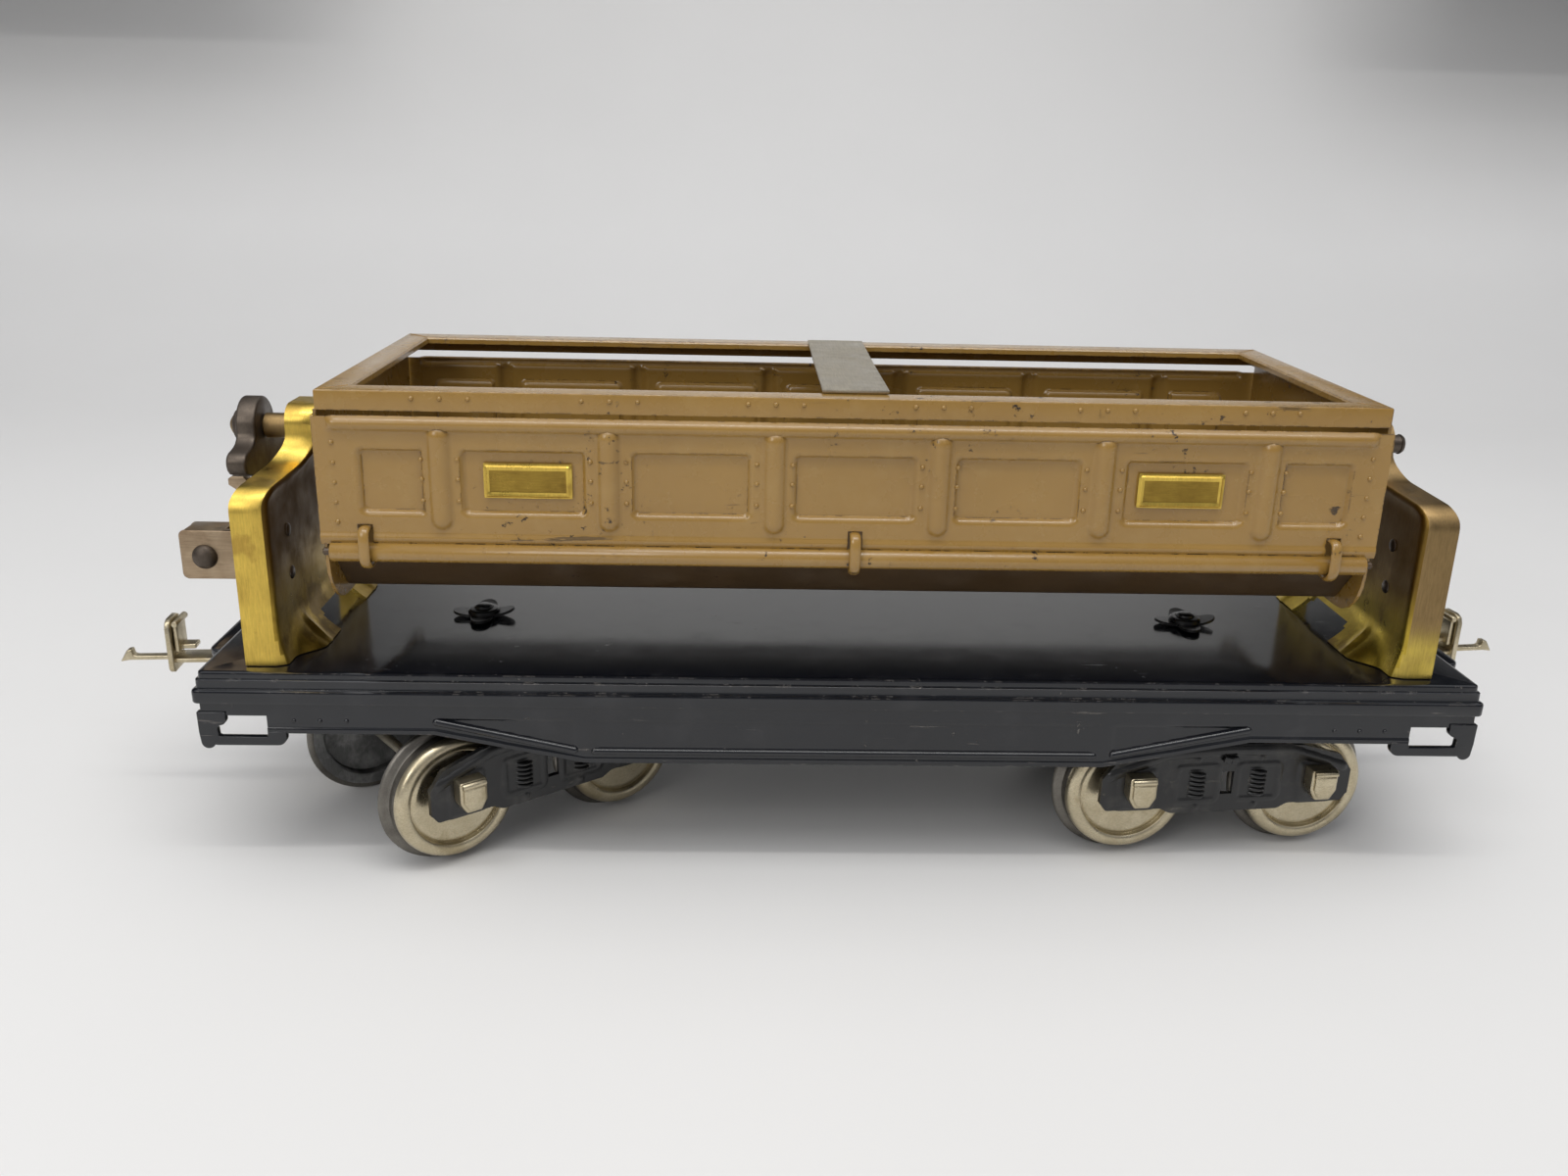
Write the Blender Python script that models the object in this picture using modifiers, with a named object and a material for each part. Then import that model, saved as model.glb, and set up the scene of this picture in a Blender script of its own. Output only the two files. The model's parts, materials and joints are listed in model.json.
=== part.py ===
"""Side-dump model railway car: a flat deck on two swivelling trucks, with a tipping bin between two end frames.

X runs along the car, Y across it and Z up. The wheel flanges stand on z = 0, and the origin is under
the middle of the deck. Sizes are in metres, written as millimetres times MM.
"""

import math

import bmesh
import bpy
from mathutils import Matrix, Vector

MM = 0.001
GAP = 0.3 * MM  # clearance between neighbouring pieces

# Deck
DECK_HALF_LENGTH = 157.3 * MM
DECK_HALF_WIDTH = 42.0 * MM
DECK_TOP = 53.4 * MM
DECK_SHEET = 1.2 * MM
MOULDING_OVERHANG = 1.45 * MM
MOULDING_TOP = 48.6 * MM
MOULDING_BOTTOM = 45.6 * MM
SKIRT_THICKNESS = 1.2 * MM
SKIRT_END_BOTTOM = 38.0 * MM
SKIRT_MIDDLE_BOTTOM = 30.8 * MM
SKIRT_SLOPE_FROM = 64.5 * MM
SKIRT_SLOPE_TO = 101.0 * MM
STEP_FROM = 136.9 * MM
STEP_BOTTOM = 34.6 * MM
STEP_WINDOW = (140.4 * MM, 152.7 * MM, 37.3 * MM, 42.9 * MM)
END_SILL_BOTTOM = 43.5 * MM
COUPLER_GAP_HALF = 30.0 * MM
LUG_HALF_WIDTH = 26.0 * MM
LUG_REACH = 3.6 * MM

# Bin
PIVOT_Z = 105.0 * MM
BIN_HALF_LENGTH = 123.4 * MM
BIN_SHEET = 0.8 * MM
RAIL_HALF_LENGTH = 122.4 * MM
RAIL_HALF_WIDTH = 44.5 * MM
RAIL_TOP = 122.8 * MM
RAIL_HEIGHT = 4.6 * MM
RAIL_FLANGE = 7.0 * MM
STRAP_HALF_WIDTH = 8.3 * MM
STRAP_THICKNESS = 0.7 * MM
BIN_END_HALF_WIDTH = 42.9 * MM
BIN_END_BOTTOM = 70.2 * MM
BIN_END_CORNER = 12.0 * MM
FLOOR_EDGE_Y = 40.6 * MM
FLOOR_EDGE_Z = 84.2 * MM
FLOOR_KNEE_Y = 28.0 * MM
FLOOR_KNEE_Z = 72.6 * MM

# Doors
DOOR_Y = 44.6 * MM  # middle of the sheet, and the hinge axis
DOOR_TOP = 116.8 * MM
HINGE_Z = 85.1 * MM
ROLL_RADIUS = 2.35 * MM
ROLL_BORE = 1.25 * MM
ROLL_HALF_LENGTH = 121.4 * MM
ROD_RADIUS = 0.95 * MM
LOOP_PLACES = (-113.0 * MM, 0.0, 113.0 * MM)
LOOP_WIDTH = 3.8 * MM
LOOP_INNER = 2.65 * MM
LOOP_OUTER = 3.45 * MM
SLOT_WIDTH = 4.8 * MM
SLOT_TOP = 91.8 * MM
NAME_PLATE_X = 75.4 * MM
NAME_PLATE_Z = 102.4 * MM
NAME_PLATE_SIZE = (20.0 * MM, 0.6 * MM, 7.9 * MM)

# End frames
FRAME_FACE_X = 138.0 * MM  # the face towards the bin
FRAME_FLANGE = 8.5 * MM
FRAME_SHEET = 1.2 * MM
FRAME_BEND = 1.6 * MM
FRAME_HALF_WIDTH = 38.4 * MM
FRAME_ARCH_SHARE = 0.38  # how far the arch between the feet reaches across the frame
FRAME_ARCH_ROWS = 3  # how many rows of the foot it is cut through
SHOULDER_Z = 97.5 * MM
SHOULDER_RADIUS = 6.0 * MM
NECK_HALF_WIDTH = 9.0 * MM
NECK_FILLET = 5.0 * MM
NECK_TOP = 111.8 * MM
NECK_CORNER = 5.0 * MM
NECK_JOGGLE = 4.8 * MM
FOOT_REACH = 7.0 * MM
FOOT_HEIGHT = 10.0 * MM

# Tipping gear
SHAFT_RADIUS = 3.2 * MM
TENON_RADIUS = 2.2 * MM
HANDLE_X = (-154.7 * MM, -149.7 * MM)
PIN_HEAD_RADIUS = 3.2 * MM
BRACKET_X = (-173.6 * MM, -139.5 * MM)
BRACKET_HALF_WIDTH = 4.5 * MM
BRACKET_Z = (64.4 * MM, 77.6 * MM)
CATCH_PIN_X = -167.3 * MM
CATCH_PIN_Z = 70.5 * MM
CATCH_PIN_RADIUS = 1.5 * MM

# Trucks
TRUCK_X = 96.0 * MM
TRUCK_REST_TURN = {"left": math.radians(37.5), "right": math.radians(6.5)}
WHEELBASE = 49.0 * MM
AXLE_Z = 18.5 * MM
AXLE_RADIUS = 1.4 * MM
AXLE_HALF_LENGTH = 35.2 * MM
FLANGE_RADIUS = 18.5 * MM
TREAD_RADIUS = 15.8 * MM
WHEEL_FACE_Y = 30.5 * MM
WHEEL_WIDTH = 7.5 * MM
WHEEL_SEGMENTS = 24
SIDE_FRAME_Y = 33.8 * MM
SIDE_FRAME_SHEET = 1.5 * MM
JOURNAL_SIZE = (7.2 * MM, 5.0 * MM, 8.4 * MM)
JOURNAL_Z = 21.2 * MM
KING_PIN_RADIUS = 2.4 * MM
KING_PIN_TOP = 56.8 * MM

# Couplers
COUPLER_REST_TURN = {"left": math.radians(4.0), "right": math.radians(8.0)}
ARM_Z = 42.2 * MM
ARM_THICKNESS = 1.2 * MM
ARM_WIDTH = 7.0 * MM
HEAD_X = 81.0 * MM  # from the king pin
HEAD_HALF_WIDTH = 4.5 * MM
HEAD_Z = (39.6 * MM, 54.4 * MM)
HEAD_SLOT_Z = (46.0 * MM, 52.4 * MM)
PRONG_LENGTH = 12.0 * MM
LATCH_PIVOT_Z = 53.2 * MM

PARTS = None
CUTTERS = None
MATERIALS = {}

FINISHES = {
    "black_enamel": ((0.018, 0.019, 0.022, 1), 0.32, 0.2),
    "tan_enamel": ((0.30, 0.215, 0.115, 1), 0.4, 0.1),
    "brass": ((0.72, 0.52, 0.16, 1), 0.3, 1.0),
    "bright_steel": ((0.55, 0.54, 0.51, 1), 0.38, 1.0),
    "dark_iron": ((0.06, 0.052, 0.048, 1), 0.45, 0.8),
    "nickel": ((0.62, 0.58, 0.49, 1), 0.28, 1.0),
    "truck_black": ((0.02, 0.02, 0.021, 1), 0.45, 0.2),
}


def clear_scene():
    """Remove every object of the scene."""
    for obj in list(bpy.data.objects):
        bpy.data.objects.remove(obj, do_unlink=True)


def new_collection(name):
    collection = bpy.data.collections.new(name)
    bpy.context.scene.collection.children.link(collection)
    return collection


def new_material(name):
    color, roughness, metallic = FINISHES[name]
    material = bpy.data.materials.new(name)
    material.use_nodes = True
    shader = material.node_tree.nodes["Principled BSDF"]
    shader.inputs["Base Color"].default_value = color
    shader.inputs["Roughness"].default_value = roughness
    shader.inputs["Metallic"].default_value = metallic
    return material


def empty(name, place, turn=0.0, parent=None):
    """An empty on a joint's axis, which carries the pieces that move together."""
    obj = bpy.data.objects.new(name, None)
    obj.location = place
    obj.rotation_euler = (0, 0, turn)
    obj.empty_display_size = 10 * MM
    obj.parent = parent
    PARTS.objects.link(obj)
    return obj


def piece(name, mesh, finish, parent=None, place=(0, 0, 0), smooth=False):
    """A named part of the car, holding this mesh."""
    obj = bpy.data.objects.new(name, mesh)
    if not mesh.materials:
        mesh.materials.append(MATERIALS[finish])
    if smooth:
        mesh.shade_smooth()
        mesh.set_sharp_from_angle(angle=math.radians(35))
    obj.location = place
    obj.parent = parent
    PARTS.objects.link(obj)
    return obj


def mesh_of(bm, name):
    mesh = bpy.data.meshes.new(name)
    bm.to_mesh(mesh)
    bm.free()
    return mesh


def box(low, high, bevel=0.0, segments=2):
    """A box between two corners, with its edges rounded by bevel."""
    low, high = Vector(low), Vector(high)
    bm = bmesh.new()
    bmesh.ops.create_cube(bm, size=1.0)
    bmesh.ops.scale(bm, vec=high - low, verts=bm.verts)
    bmesh.ops.translate(bm, vec=(high + low) / 2, verts=bm.verts)
    if bevel:
        bmesh.ops.bevel(bm, geom=bm.edges, offset=bevel, segments=segments, profile=0.5, affect="EDGES")
    return mesh_of(bm, "box")


def cylinder(radius, start, end, axis, segments=20):
    """A cylinder along the named axis through the origin, from start to end."""
    bm = bmesh.new()
    bmesh.ops.create_cone(
        bm, cap_ends=True, segments=segments, radius1=radius, radius2=radius, depth=end - start
    )
    bmesh.ops.translate(bm, vec=(0, 0, (start + end) / 2), verts=bm.verts)
    bmesh.ops.transform(bm, matrix=towards(axis), verts=bm.verts)
    return mesh_of(bm, "cylinder")


def towards(axis):
    """The turn that takes +Z to +X, +Y or +Z."""
    turns = {
        "X": Matrix.Rotation(math.radians(90), 4, "Y"),
        "Y": Matrix.Rotation(math.radians(-90), 4, "X"),
        "Z": Matrix.Identity(4),
    }
    return turns[axis]


def moved(mesh, offset):
    mesh.transform(Matrix.Translation(offset))
    return mesh


def turned_shape(profile, axis, segments):
    """A profile of (radius, height) points, turned about the named axis. It runs down its outer side."""
    mesh = bpy.data.meshes.new("profile")
    points = [(radius, 0, height) for radius, height in profile]
    closed = profile[0][0] > 0 and profile[-1][0] > 0
    edges = [(i, i + 1) for i in range(len(points) - 1)]
    if closed:
        edges.append((len(points) - 1, 0))
    mesh.from_pydata(points, edges, [])
    obj = bpy.data.objects.new("turning", mesh)
    bpy.context.scene.collection.objects.link(obj)
    screw = obj.modifiers.new("turn", "SCREW")
    screw.axis = "Z"
    screw.steps = segments
    screw.render_steps = segments
    screw.use_merge_vertices = True
    screw.merge_threshold = 0.00001
    result = baked(obj)
    bpy.data.objects.remove(obj, do_unlink=True)
    result.transform(towards(axis))
    return result


def flat_outline(points, low, high, plane):
    """A plate with this outline. In plane XZ it lies between two values of y, and in YZ between two of x."""
    curve = bpy.data.curves.new("outline", "CURVE")
    curve.dimensions = "2D"
    curve.fill_mode = "BOTH"
    curve.extrude = (high - low) / 2
    spline = curve.splines.new("POLY")
    spline.points.add(len(points) - 1)
    for point, (u, v) in zip(spline.points, points):
        point.co = (u, v, 0, 1)
    spline.use_cyclic_u = True
    obj = bpy.data.objects.new("outline", curve)
    bpy.context.scene.collection.objects.link(obj)
    mesh = baked(obj)
    bpy.data.objects.remove(obj, do_unlink=True)
    bm = bmesh.new()
    bm.from_mesh(mesh)
    bmesh.ops.remove_doubles(bm, verts=bm.verts, dist=0.000001)
    bmesh.ops.translate(bm, vec=(0, 0, (low + high) / 2), verts=bm.verts)
    if plane == "XZ":
        # (u, v, w) goes to (u, w, v), which mirrors, so the faces are turned back.
        for vertex in bm.verts:
            vertex.co = Vector((vertex.co.x, vertex.co.z, vertex.co.y))
        bmesh.ops.reverse_faces(bm, faces=bm.faces)
    if plane == "YZ":
        for vertex in bm.verts:
            vertex.co = Vector((vertex.co.z, vertex.co.x, vertex.co.y))
    bmesh.ops.recalc_face_normals(bm, faces=bm.faces)
    return mesh_of(bm, "plate")


def arc(center, radius, start, end, steps):
    """Points along an arc, with its angles in degrees."""
    found = []
    for step in range(steps + 1):
        angle = math.radians(start + (end - start) * step / steps)
        found.append((center[0] + radius * math.cos(angle), center[1] + radius * math.sin(angle)))
    return found


def baked(obj):
    """The mesh that an object's modifiers make of it."""
    bpy.context.view_layer.update()
    graph = bpy.context.evaluated_depsgraph_get()
    return bpy.data.meshes.new_from_object(obj.evaluated_get(graph))


def combined(base, *steps):
    """The base mesh after Booleans. Each step is an operation and the mesh that it uses."""
    target = bpy.data.objects.new("target", base)
    bpy.context.scene.collection.objects.link(target)
    tools = []
    for operation, mesh in steps:
        tool = bpy.data.objects.new("tool", mesh)
        CUTTERS.objects.link(tool)
        tool.hide_render = True
        tool.display_type = "WIRE"
        modifier = target.modifiers.new("combine", "BOOLEAN")
        modifier.operation = operation
        modifier.solver = "EXACT"
        modifier.object = tool
        tools.append(tool)
    result = baked(target)
    for obj in [target, *tools]:
        bpy.data.objects.remove(obj, do_unlink=True)
    result.materials.clear()
    return result


# Deck


def skirt_outline():
    """A side skirt in x and z, from the middle's bottom edge out to the step and up to its top corner."""
    half = [
        (SKIRT_SLOPE_FROM, SKIRT_MIDDLE_BOTTOM),
        (SKIRT_SLOPE_TO, SKIRT_END_BOTTOM),
        (STEP_FROM, SKIRT_END_BOTTOM),
        (STEP_FROM + 0.6 * MM, STEP_BOTTOM + 0.4 * MM),
        (DECK_HALF_LENGTH - 3 * MM, STEP_BOTTOM),
        (DECK_HALF_LENGTH - 0.3 * MM, STEP_BOTTOM + 1.5 * MM),
        (DECK_HALF_LENGTH - 0.3 * MM, MOULDING_TOP - 1 * MM),
    ]
    return half + [(-x, z) for x, z in reversed(half)]


def side_skirt(side):
    outer = side * (DECK_HALF_WIDTH + 0.9 * MM)
    inner = outer - side * SKIRT_THICKNESS
    plate = flat_outline(skirt_outline(), min(outer, inner), max(outer, inner), "XZ")
    windows = []
    x_low, x_high, z_low, z_high = STEP_WINDOW
    for end in (-1, 1):
        xs = sorted((end * x_low, end * x_high))
        reach = 3 * MM
        window = box(
            (xs[0], min(outer, inner) - reach, z_low), (xs[1], max(outer, inner) + reach, z_high)
        )
        windows.append(("DIFFERENCE", window))
    return combined(plate, *windows)


def end_sill(end):
    """The plate across one end below the moulding, open in the middle for the coupler."""
    outer = DECK_HALF_LENGTH - 0.6 * MM
    xs = sorted((end * outer, end * (outer - SKIRT_THICKNESS)))
    low_y = DECK_HALF_WIDTH + 0.4 * MM
    plate = box((xs[0], -low_y, END_SILL_BOTTOM), (xs[1], low_y, MOULDING_TOP - 1.3 * MM))
    reach = 5 * MM
    mouth = box(
        (xs[0] - reach, -COUPLER_GAP_HALF, END_SILL_BOTTOM - reach),
        (xs[1] + reach, COUPLER_GAP_HALF, MOULDING_BOTTOM + 0.8 * MM),
    )
    return combined(plate, ("DIFFERENCE", mouth))


def end_lug(end):
    """The low rounded bulge of the deck plate beyond one end."""
    reach = DECK_HALF_LENGTH + LUG_REACH
    root = DECK_HALF_LENGTH - 4 * MM
    corner = 3.2 * MM
    near = arc((reach - corner, -LUG_HALF_WIDTH + corner), corner, -90, 0, 4)
    far = arc((reach - corner, LUG_HALF_WIDTH - corner), corner, 0, 90, 4)
    points = [(root, -LUG_HALF_WIDTH), *near, *far, (root, LUG_HALF_WIDTH)]
    curve_plate = flat_outline(points, DECK_TOP - 2.9 * MM, DECK_TOP - 0.5 * MM, "XY")
    if end < 0:
        curve_plate.transform(Matrix.Rotation(math.pi, 4, "Z"))
    return curve_plate


def make_deck():
    """The pressed deck, with its moulding, side skirts, end sills and steps."""
    top = box(
        (-DECK_HALF_LENGTH, -DECK_HALF_WIDTH, MOULDING_BOTTOM + 0.4 * MM),
        (DECK_HALF_LENGTH, DECK_HALF_WIDTH, DECK_TOP),
        bevel=0.7 * MM,
    )
    wide = DECK_HALF_WIDTH + MOULDING_OVERHANG
    long = DECK_HALF_LENGTH + MOULDING_OVERHANG
    moulding = box((-long, -wide, MOULDING_BOTTOM), (long, wide, MOULDING_TOP), bevel=0.5 * MM)
    inner_y = DECK_HALF_WIDTH + 1.1 * MM - SKIRT_THICKNESS
    inner_x = DECK_HALF_LENGTH - 0.4 * MM - SKIRT_THICKNESS
    hollow = box((-inner_x, -inner_y, 20 * MM), (inner_x, inner_y, DECK_TOP - DECK_SHEET))
    steps = [("UNION", moulding), ("UNION", end_lug(-1)), ("UNION", end_lug(1))]
    steps.append(("DIFFERENCE", hollow))
    steps += [("UNION", side_skirt(-1)), ("UNION", side_skirt(1))]
    steps += [("UNION", end_sill(-1)), ("UNION", end_sill(1))]
    for side in (-1, 1):
        hole = cylinder(KING_PIN_RADIUS + GAP, 40 * MM, 60 * MM, "Z")
        steps.append(("DIFFERENCE", moved(hole, (side * TRUCK_X, 0, 0))))
    piece("deck_frame", combined(top, *steps), "black_enamel")


# End frames


def frame_half_outline():
    """The +y half of an end frame's outline, from the deck up to the top of the neck."""
    shoulder = (FRAME_HALF_WIDTH - SHOULDER_RADIUS, SHOULDER_Z - SHOULDER_RADIUS)
    fillet_z = SHOULDER_Z + 0.8 * MM + NECK_FILLET
    fillet = (NECK_HALF_WIDTH + NECK_FILLET, fillet_z)
    crown = (NECK_HALF_WIDTH - NECK_CORNER, NECK_TOP - NECK_CORNER)
    bottom = DECK_TOP + GAP
    points = [(FRAME_HALF_WIDTH, bottom + FOOT_HEIGHT * step / 4) for step in range(5)]
    points.append((FRAME_HALF_WIDTH, (bottom + FOOT_HEIGHT + shoulder[1]) / 2))
    points += arc(shoulder, SHOULDER_RADIUS, 0, 90, 5)
    points += arc(fillet, NECK_FILLET, 270, 180, 4)
    points += arc(crown, NECK_CORNER, 0, 90, 4)
    points.append((0.0, NECK_TOP))
    return points


def inset(points, distance):
    """The outline moved inwards, square to its own direction."""
    found = []
    for index, (y, z) in enumerate(points):
        before = Vector(points[max(index - 1, 0)])
        after = Vector(points[min(index + 1, len(points) - 1)])
        along = (after - before).normalized()
        y_in = max(y - along.y * distance, 0.0)
        z_in = z + along.x * distance
        if index == len(points) - 1:
            y_in = 0.0
        found.append((y_in, z if index == 0 else z_in))
    return found


def frame_offset(y, z):
    """How far the end frame's sheet is set towards the bin: at the neck, and at the foot's flare."""
    rise = min(max((z - SHOULDER_Z + 3 * MM) / (9 * MM), 0.0), 1.0)
    neck = NECK_JOGGLE * rise * rise * (3 - 2 * rise)
    low = max(1 - (z - DECK_TOP) / FOOT_HEIGHT, 0.0)
    inside = min(max((FRAME_HALF_WIDTH - 2 * MM - abs(y)) / (10 * MM), 0.0), 1.0)
    foot = FOOT_REACH * low * low * inside * (2 - inside)
    return neck + foot


def end_frame_sheet():
    """The +y half of the end frame as an open sheet, its flange standing towards +x."""
    outline = frame_half_outline()
    rings = [
        (outline, FRAME_FLANGE),
        (outline, FRAME_BEND),
        (inset(outline, 0.3 * FRAME_BEND), 0.3 * FRAME_BEND),
        (inset(outline, FRAME_BEND), 0.0),
    ]
    shares = (0.88, 0.76, 0.6, FRAME_ARCH_SHARE, FRAME_ARCH_SHARE / 2, 0.0)
    arch_from = len(rings) + 3
    bm = bmesh.new()
    columns = []
    for points, reach in rings:
        columns.append([(y, z, reach) for y, z in points])
    for share in shares:
        columns.append([(y * share, z, 0.0) for y, z in rings[-1][0]])
    grid = []
    for column in columns:
        row = []
        for y, z, reach in column:
            row.append(bm.verts.new((FRAME_FACE_X + reach - frame_offset(y, z), y, z)))
        grid.append(row)
    for index, (first, second) in enumerate(zip(grid, grid[1:])):
        for k in range(len(first) - 1):
            if index < arch_from or k >= FRAME_ARCH_ROWS:
                bm.faces.new((first[k], second[k], second[k + 1], first[k + 1]))
    loose = [vert for vert in bm.verts if not vert.link_faces]
    bmesh.ops.delete(bm, geom=loose, context="VERTS")
    bmesh.ops.remove_doubles(bm, verts=bm.verts, dist=0.00001)
    bmesh.ops.recalc_face_normals(bm, faces=bm.faces)
    return mesh_of(bm, "frame_sheet")


def end_frame(end):
    """One pressed brass end frame: mirrored sheet, given its thickness, with the pivot hole cut."""
    obj = bpy.data.objects.new("sheet", end_frame_sheet())
    bpy.context.scene.collection.objects.link(obj)
    mirror = obj.modifiers.new("mirror", "MIRROR")
    mirror.use_axis = (False, True, False)
    mirror.merge_threshold = 0.00001
    solidify = obj.modifiers.new("sheet", "SOLIDIFY")
    solidify.thickness = FRAME_SHEET
    solidify.offset = 1.0
    solid = baked(obj)
    bpy.data.objects.remove(obj, do_unlink=True)
    bm = bmesh.new()
    bm.from_mesh(solid)
    bmesh.ops.recalc_face_normals(bm, faces=bm.faces)
    solid = mesh_of(bm, "frame")
    hole = moved(cylinder(SHAFT_RADIUS + GAP, 120 * MM, 150 * MM, "X"), (0, 0, PIVOT_Z))
    solid = combined(solid, ("DIFFERENCE", hole))
    if end < 0:
        solid.transform(Matrix.Rotation(math.pi, 4, "Z"))
    return solid


def make_end_frames():
    for end, name in ((-1, "end_frame_left"), (1, "end_frame_right")):
        piece(name, end_frame(end), "brass", smooth=True)


# Tipping gear


def make_catch():
    """The bracket outside the left end frame, its pin, and the lever that holds the handle."""
    wide, sheet = BRACKET_HALF_WIDTH, 1.0 * MM
    shell = box((BRACKET_X[0], -wide, BRACKET_Z[0]), (BRACKET_X[1], wide, BRACKET_Z[1]))
    inside = box(
        (BRACKET_X[0] - 2 * MM, -wide + sheet, BRACKET_Z[0] - 2 * MM),
        (BRACKET_X[1] - sheet, wide - sheet, BRACKET_Z[1] - sheet),
    )
    slot = box((-162.0 * MM, -2.2 * MM, 70 * MM), (-154.6 * MM, 2.2 * MM, 80 * MM))
    hole = moved(cylinder(CATCH_PIN_RADIUS + GAP, -8 * MM, 8 * MM, "Y"), (CATCH_PIN_X, 0, CATCH_PIN_Z))
    shell = combined(shell, ("DIFFERENCE", inside), ("DIFFERENCE", slot), ("DIFFERENCE", hole))
    piece("catch_bracket", shell, "bright_steel")

    head = wide + GAP
    dome = arc((0, head), 3.4 * MM, 80, 0, 4)
    profile = [(0.0, head + 2.1 * MM)]
    profile += [(r, head + (z - head) * 0.6) for r, z in dome]
    profile += [(CATCH_PIN_RADIUS, head), (CATCH_PIN_RADIUS, -head)]
    profile += [(r, -z) for r, z in reversed(profile[1:-2])]
    profile.append((0.0, -head - 2.1 * MM))
    pin = turned_shape(profile, "Y", 20)
    piece("catch_pin", pin, "dark_iron", place=(CATCH_PIN_X, 0, CATCH_PIN_Z), smooth=True)

    axis = empty("catch_axis", (CATCH_PIN_X, 0, CATCH_PIN_Z))
    stem_x, stem = 9.9 * MM, 1.8 * MM
    eye = 3.0 * MM
    tip_z = 21.0 * MM
    lever = [
        *arc((0, 0), eye, 90, 270, 8),
        (stem_x, -eye),
        (stem_x + 0.8 * MM, -eye + 0.8 * MM),
        (stem_x + 0.8 * MM, tip_z - 3.2 * MM),
        (stem_x + 2.0 * MM, tip_z - 2.4 * MM),
        (stem_x + 2.0 * MM, tip_z),
        (stem_x - 2.8 * MM, tip_z),
        (stem_x - 2.8 * MM, tip_z - 2.2 * MM),
        (stem_x - stem + 0.8 * MM, tip_z - 3.4 * MM),
        (stem_x - stem + 0.8 * MM, eye),
    ]
    blank = flat_outline(lever, -1.6 * MM, 1.6 * MM, "XZ")
    bore = cylinder(CATCH_PIN_RADIUS + GAP, -4 * MM, 4 * MM, "Y")
    piece("catch_lever", combined(blank, ("DIFFERENCE", bore)), "nickel", parent=axis)


def handle_outline():
    """The tipping handle in y and z about its axis: a round hub that spreads into two tips."""
    half = [
        *arc((0, 0), 7.5 * MM, 90, 15, 5),
        (7.3 * MM, -0.8 * MM),
        (8.9 * MM, -2.8 * MM),
        (12.0 * MM, -3.8 * MM),
        (15.2 * MM, -4.6 * MM),
        (16.2 * MM, -6.6 * MM),
        (14.8 * MM, -9.6 * MM),
        (7.5 * MM, -11.7 * MM),
        (0.0, -12.8 * MM),
    ]
    return half + [(-y, z) for y, z in reversed(half[1:-1])]


def make_tipping_gear(axis):
    """The handle, its shaft and the plain pivot pin at the other end."""
    blank = flat_outline(handle_outline(), HANDLE_X[0], HANDLE_X[1], "YZ")
    bore = cylinder(TENON_RADIUS + GAP, -160 * MM, -140 * MM, "X")
    handle = combined(blank, ("DIFFERENCE", bore))
    piece("tipping_handle", handle, "dark_iron", parent=axis)

    out = -HANDLE_X[0]
    shaft = [
        (0.0, out + 1.5 * MM),
        (1.6 * MM, out + 1.2 * MM),
        (3.0 * MM, out + GAP),
        (TENON_RADIUS, out + GAP),
        (TENON_RADIUS, -HANDLE_X[1] - GAP),
        (SHAFT_RADIUS, -HANDLE_X[1] - GAP),
        (SHAFT_RADIUS, BIN_HALF_LENGTH + GAP),
        (TENON_RADIUS, BIN_HALF_LENGTH + GAP),
        (TENON_RADIUS, BIN_HALF_LENGTH - BIN_SHEET - GAP),
        (3.2 * MM, BIN_HALF_LENGTH - BIN_SHEET - GAP),
        (2.2 * MM, BIN_HALF_LENGTH - BIN_SHEET - 1.3 * MM),
        (0.0, BIN_HALF_LENGTH - BIN_SHEET - 1.5 * MM),
    ]
    mesh = turned_shape(shaft, "X", 20)
    mesh.transform(Matrix.Rotation(math.pi, 4, "Z"))
    piece("pivot_shaft_left", mesh, "brass", parent=axis, smooth=True)

    face = FRAME_FACE_X + FRAME_FLANGE + 1.2 * MM
    pin = [
        (0.0, face + 1.8 * MM),
        (1.8 * MM, face + 1.5 * MM),
        (PIN_HEAD_RADIUS, face + 0.4 * MM),
        (PIN_HEAD_RADIUS, face),
        (SHAFT_RADIUS - 0.4 * MM, face),
        (SHAFT_RADIUS - 0.4 * MM, BIN_HALF_LENGTH + GAP),
        (TENON_RADIUS, BIN_HALF_LENGTH + GAP),
        (TENON_RADIUS, BIN_HALF_LENGTH - BIN_SHEET - GAP),
        (3.2 * MM, BIN_HALF_LENGTH - BIN_SHEET - GAP),
        (2.2 * MM, BIN_HALF_LENGTH - BIN_SHEET - 1.3 * MM),
        (0.0, BIN_HALF_LENGTH - BIN_SHEET - 1.5 * MM),
    ]
    piece("pivot_pin_right", turned_shape(pin, "X", 20), "dark_iron", parent=axis, smooth=True)


# Bin


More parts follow.
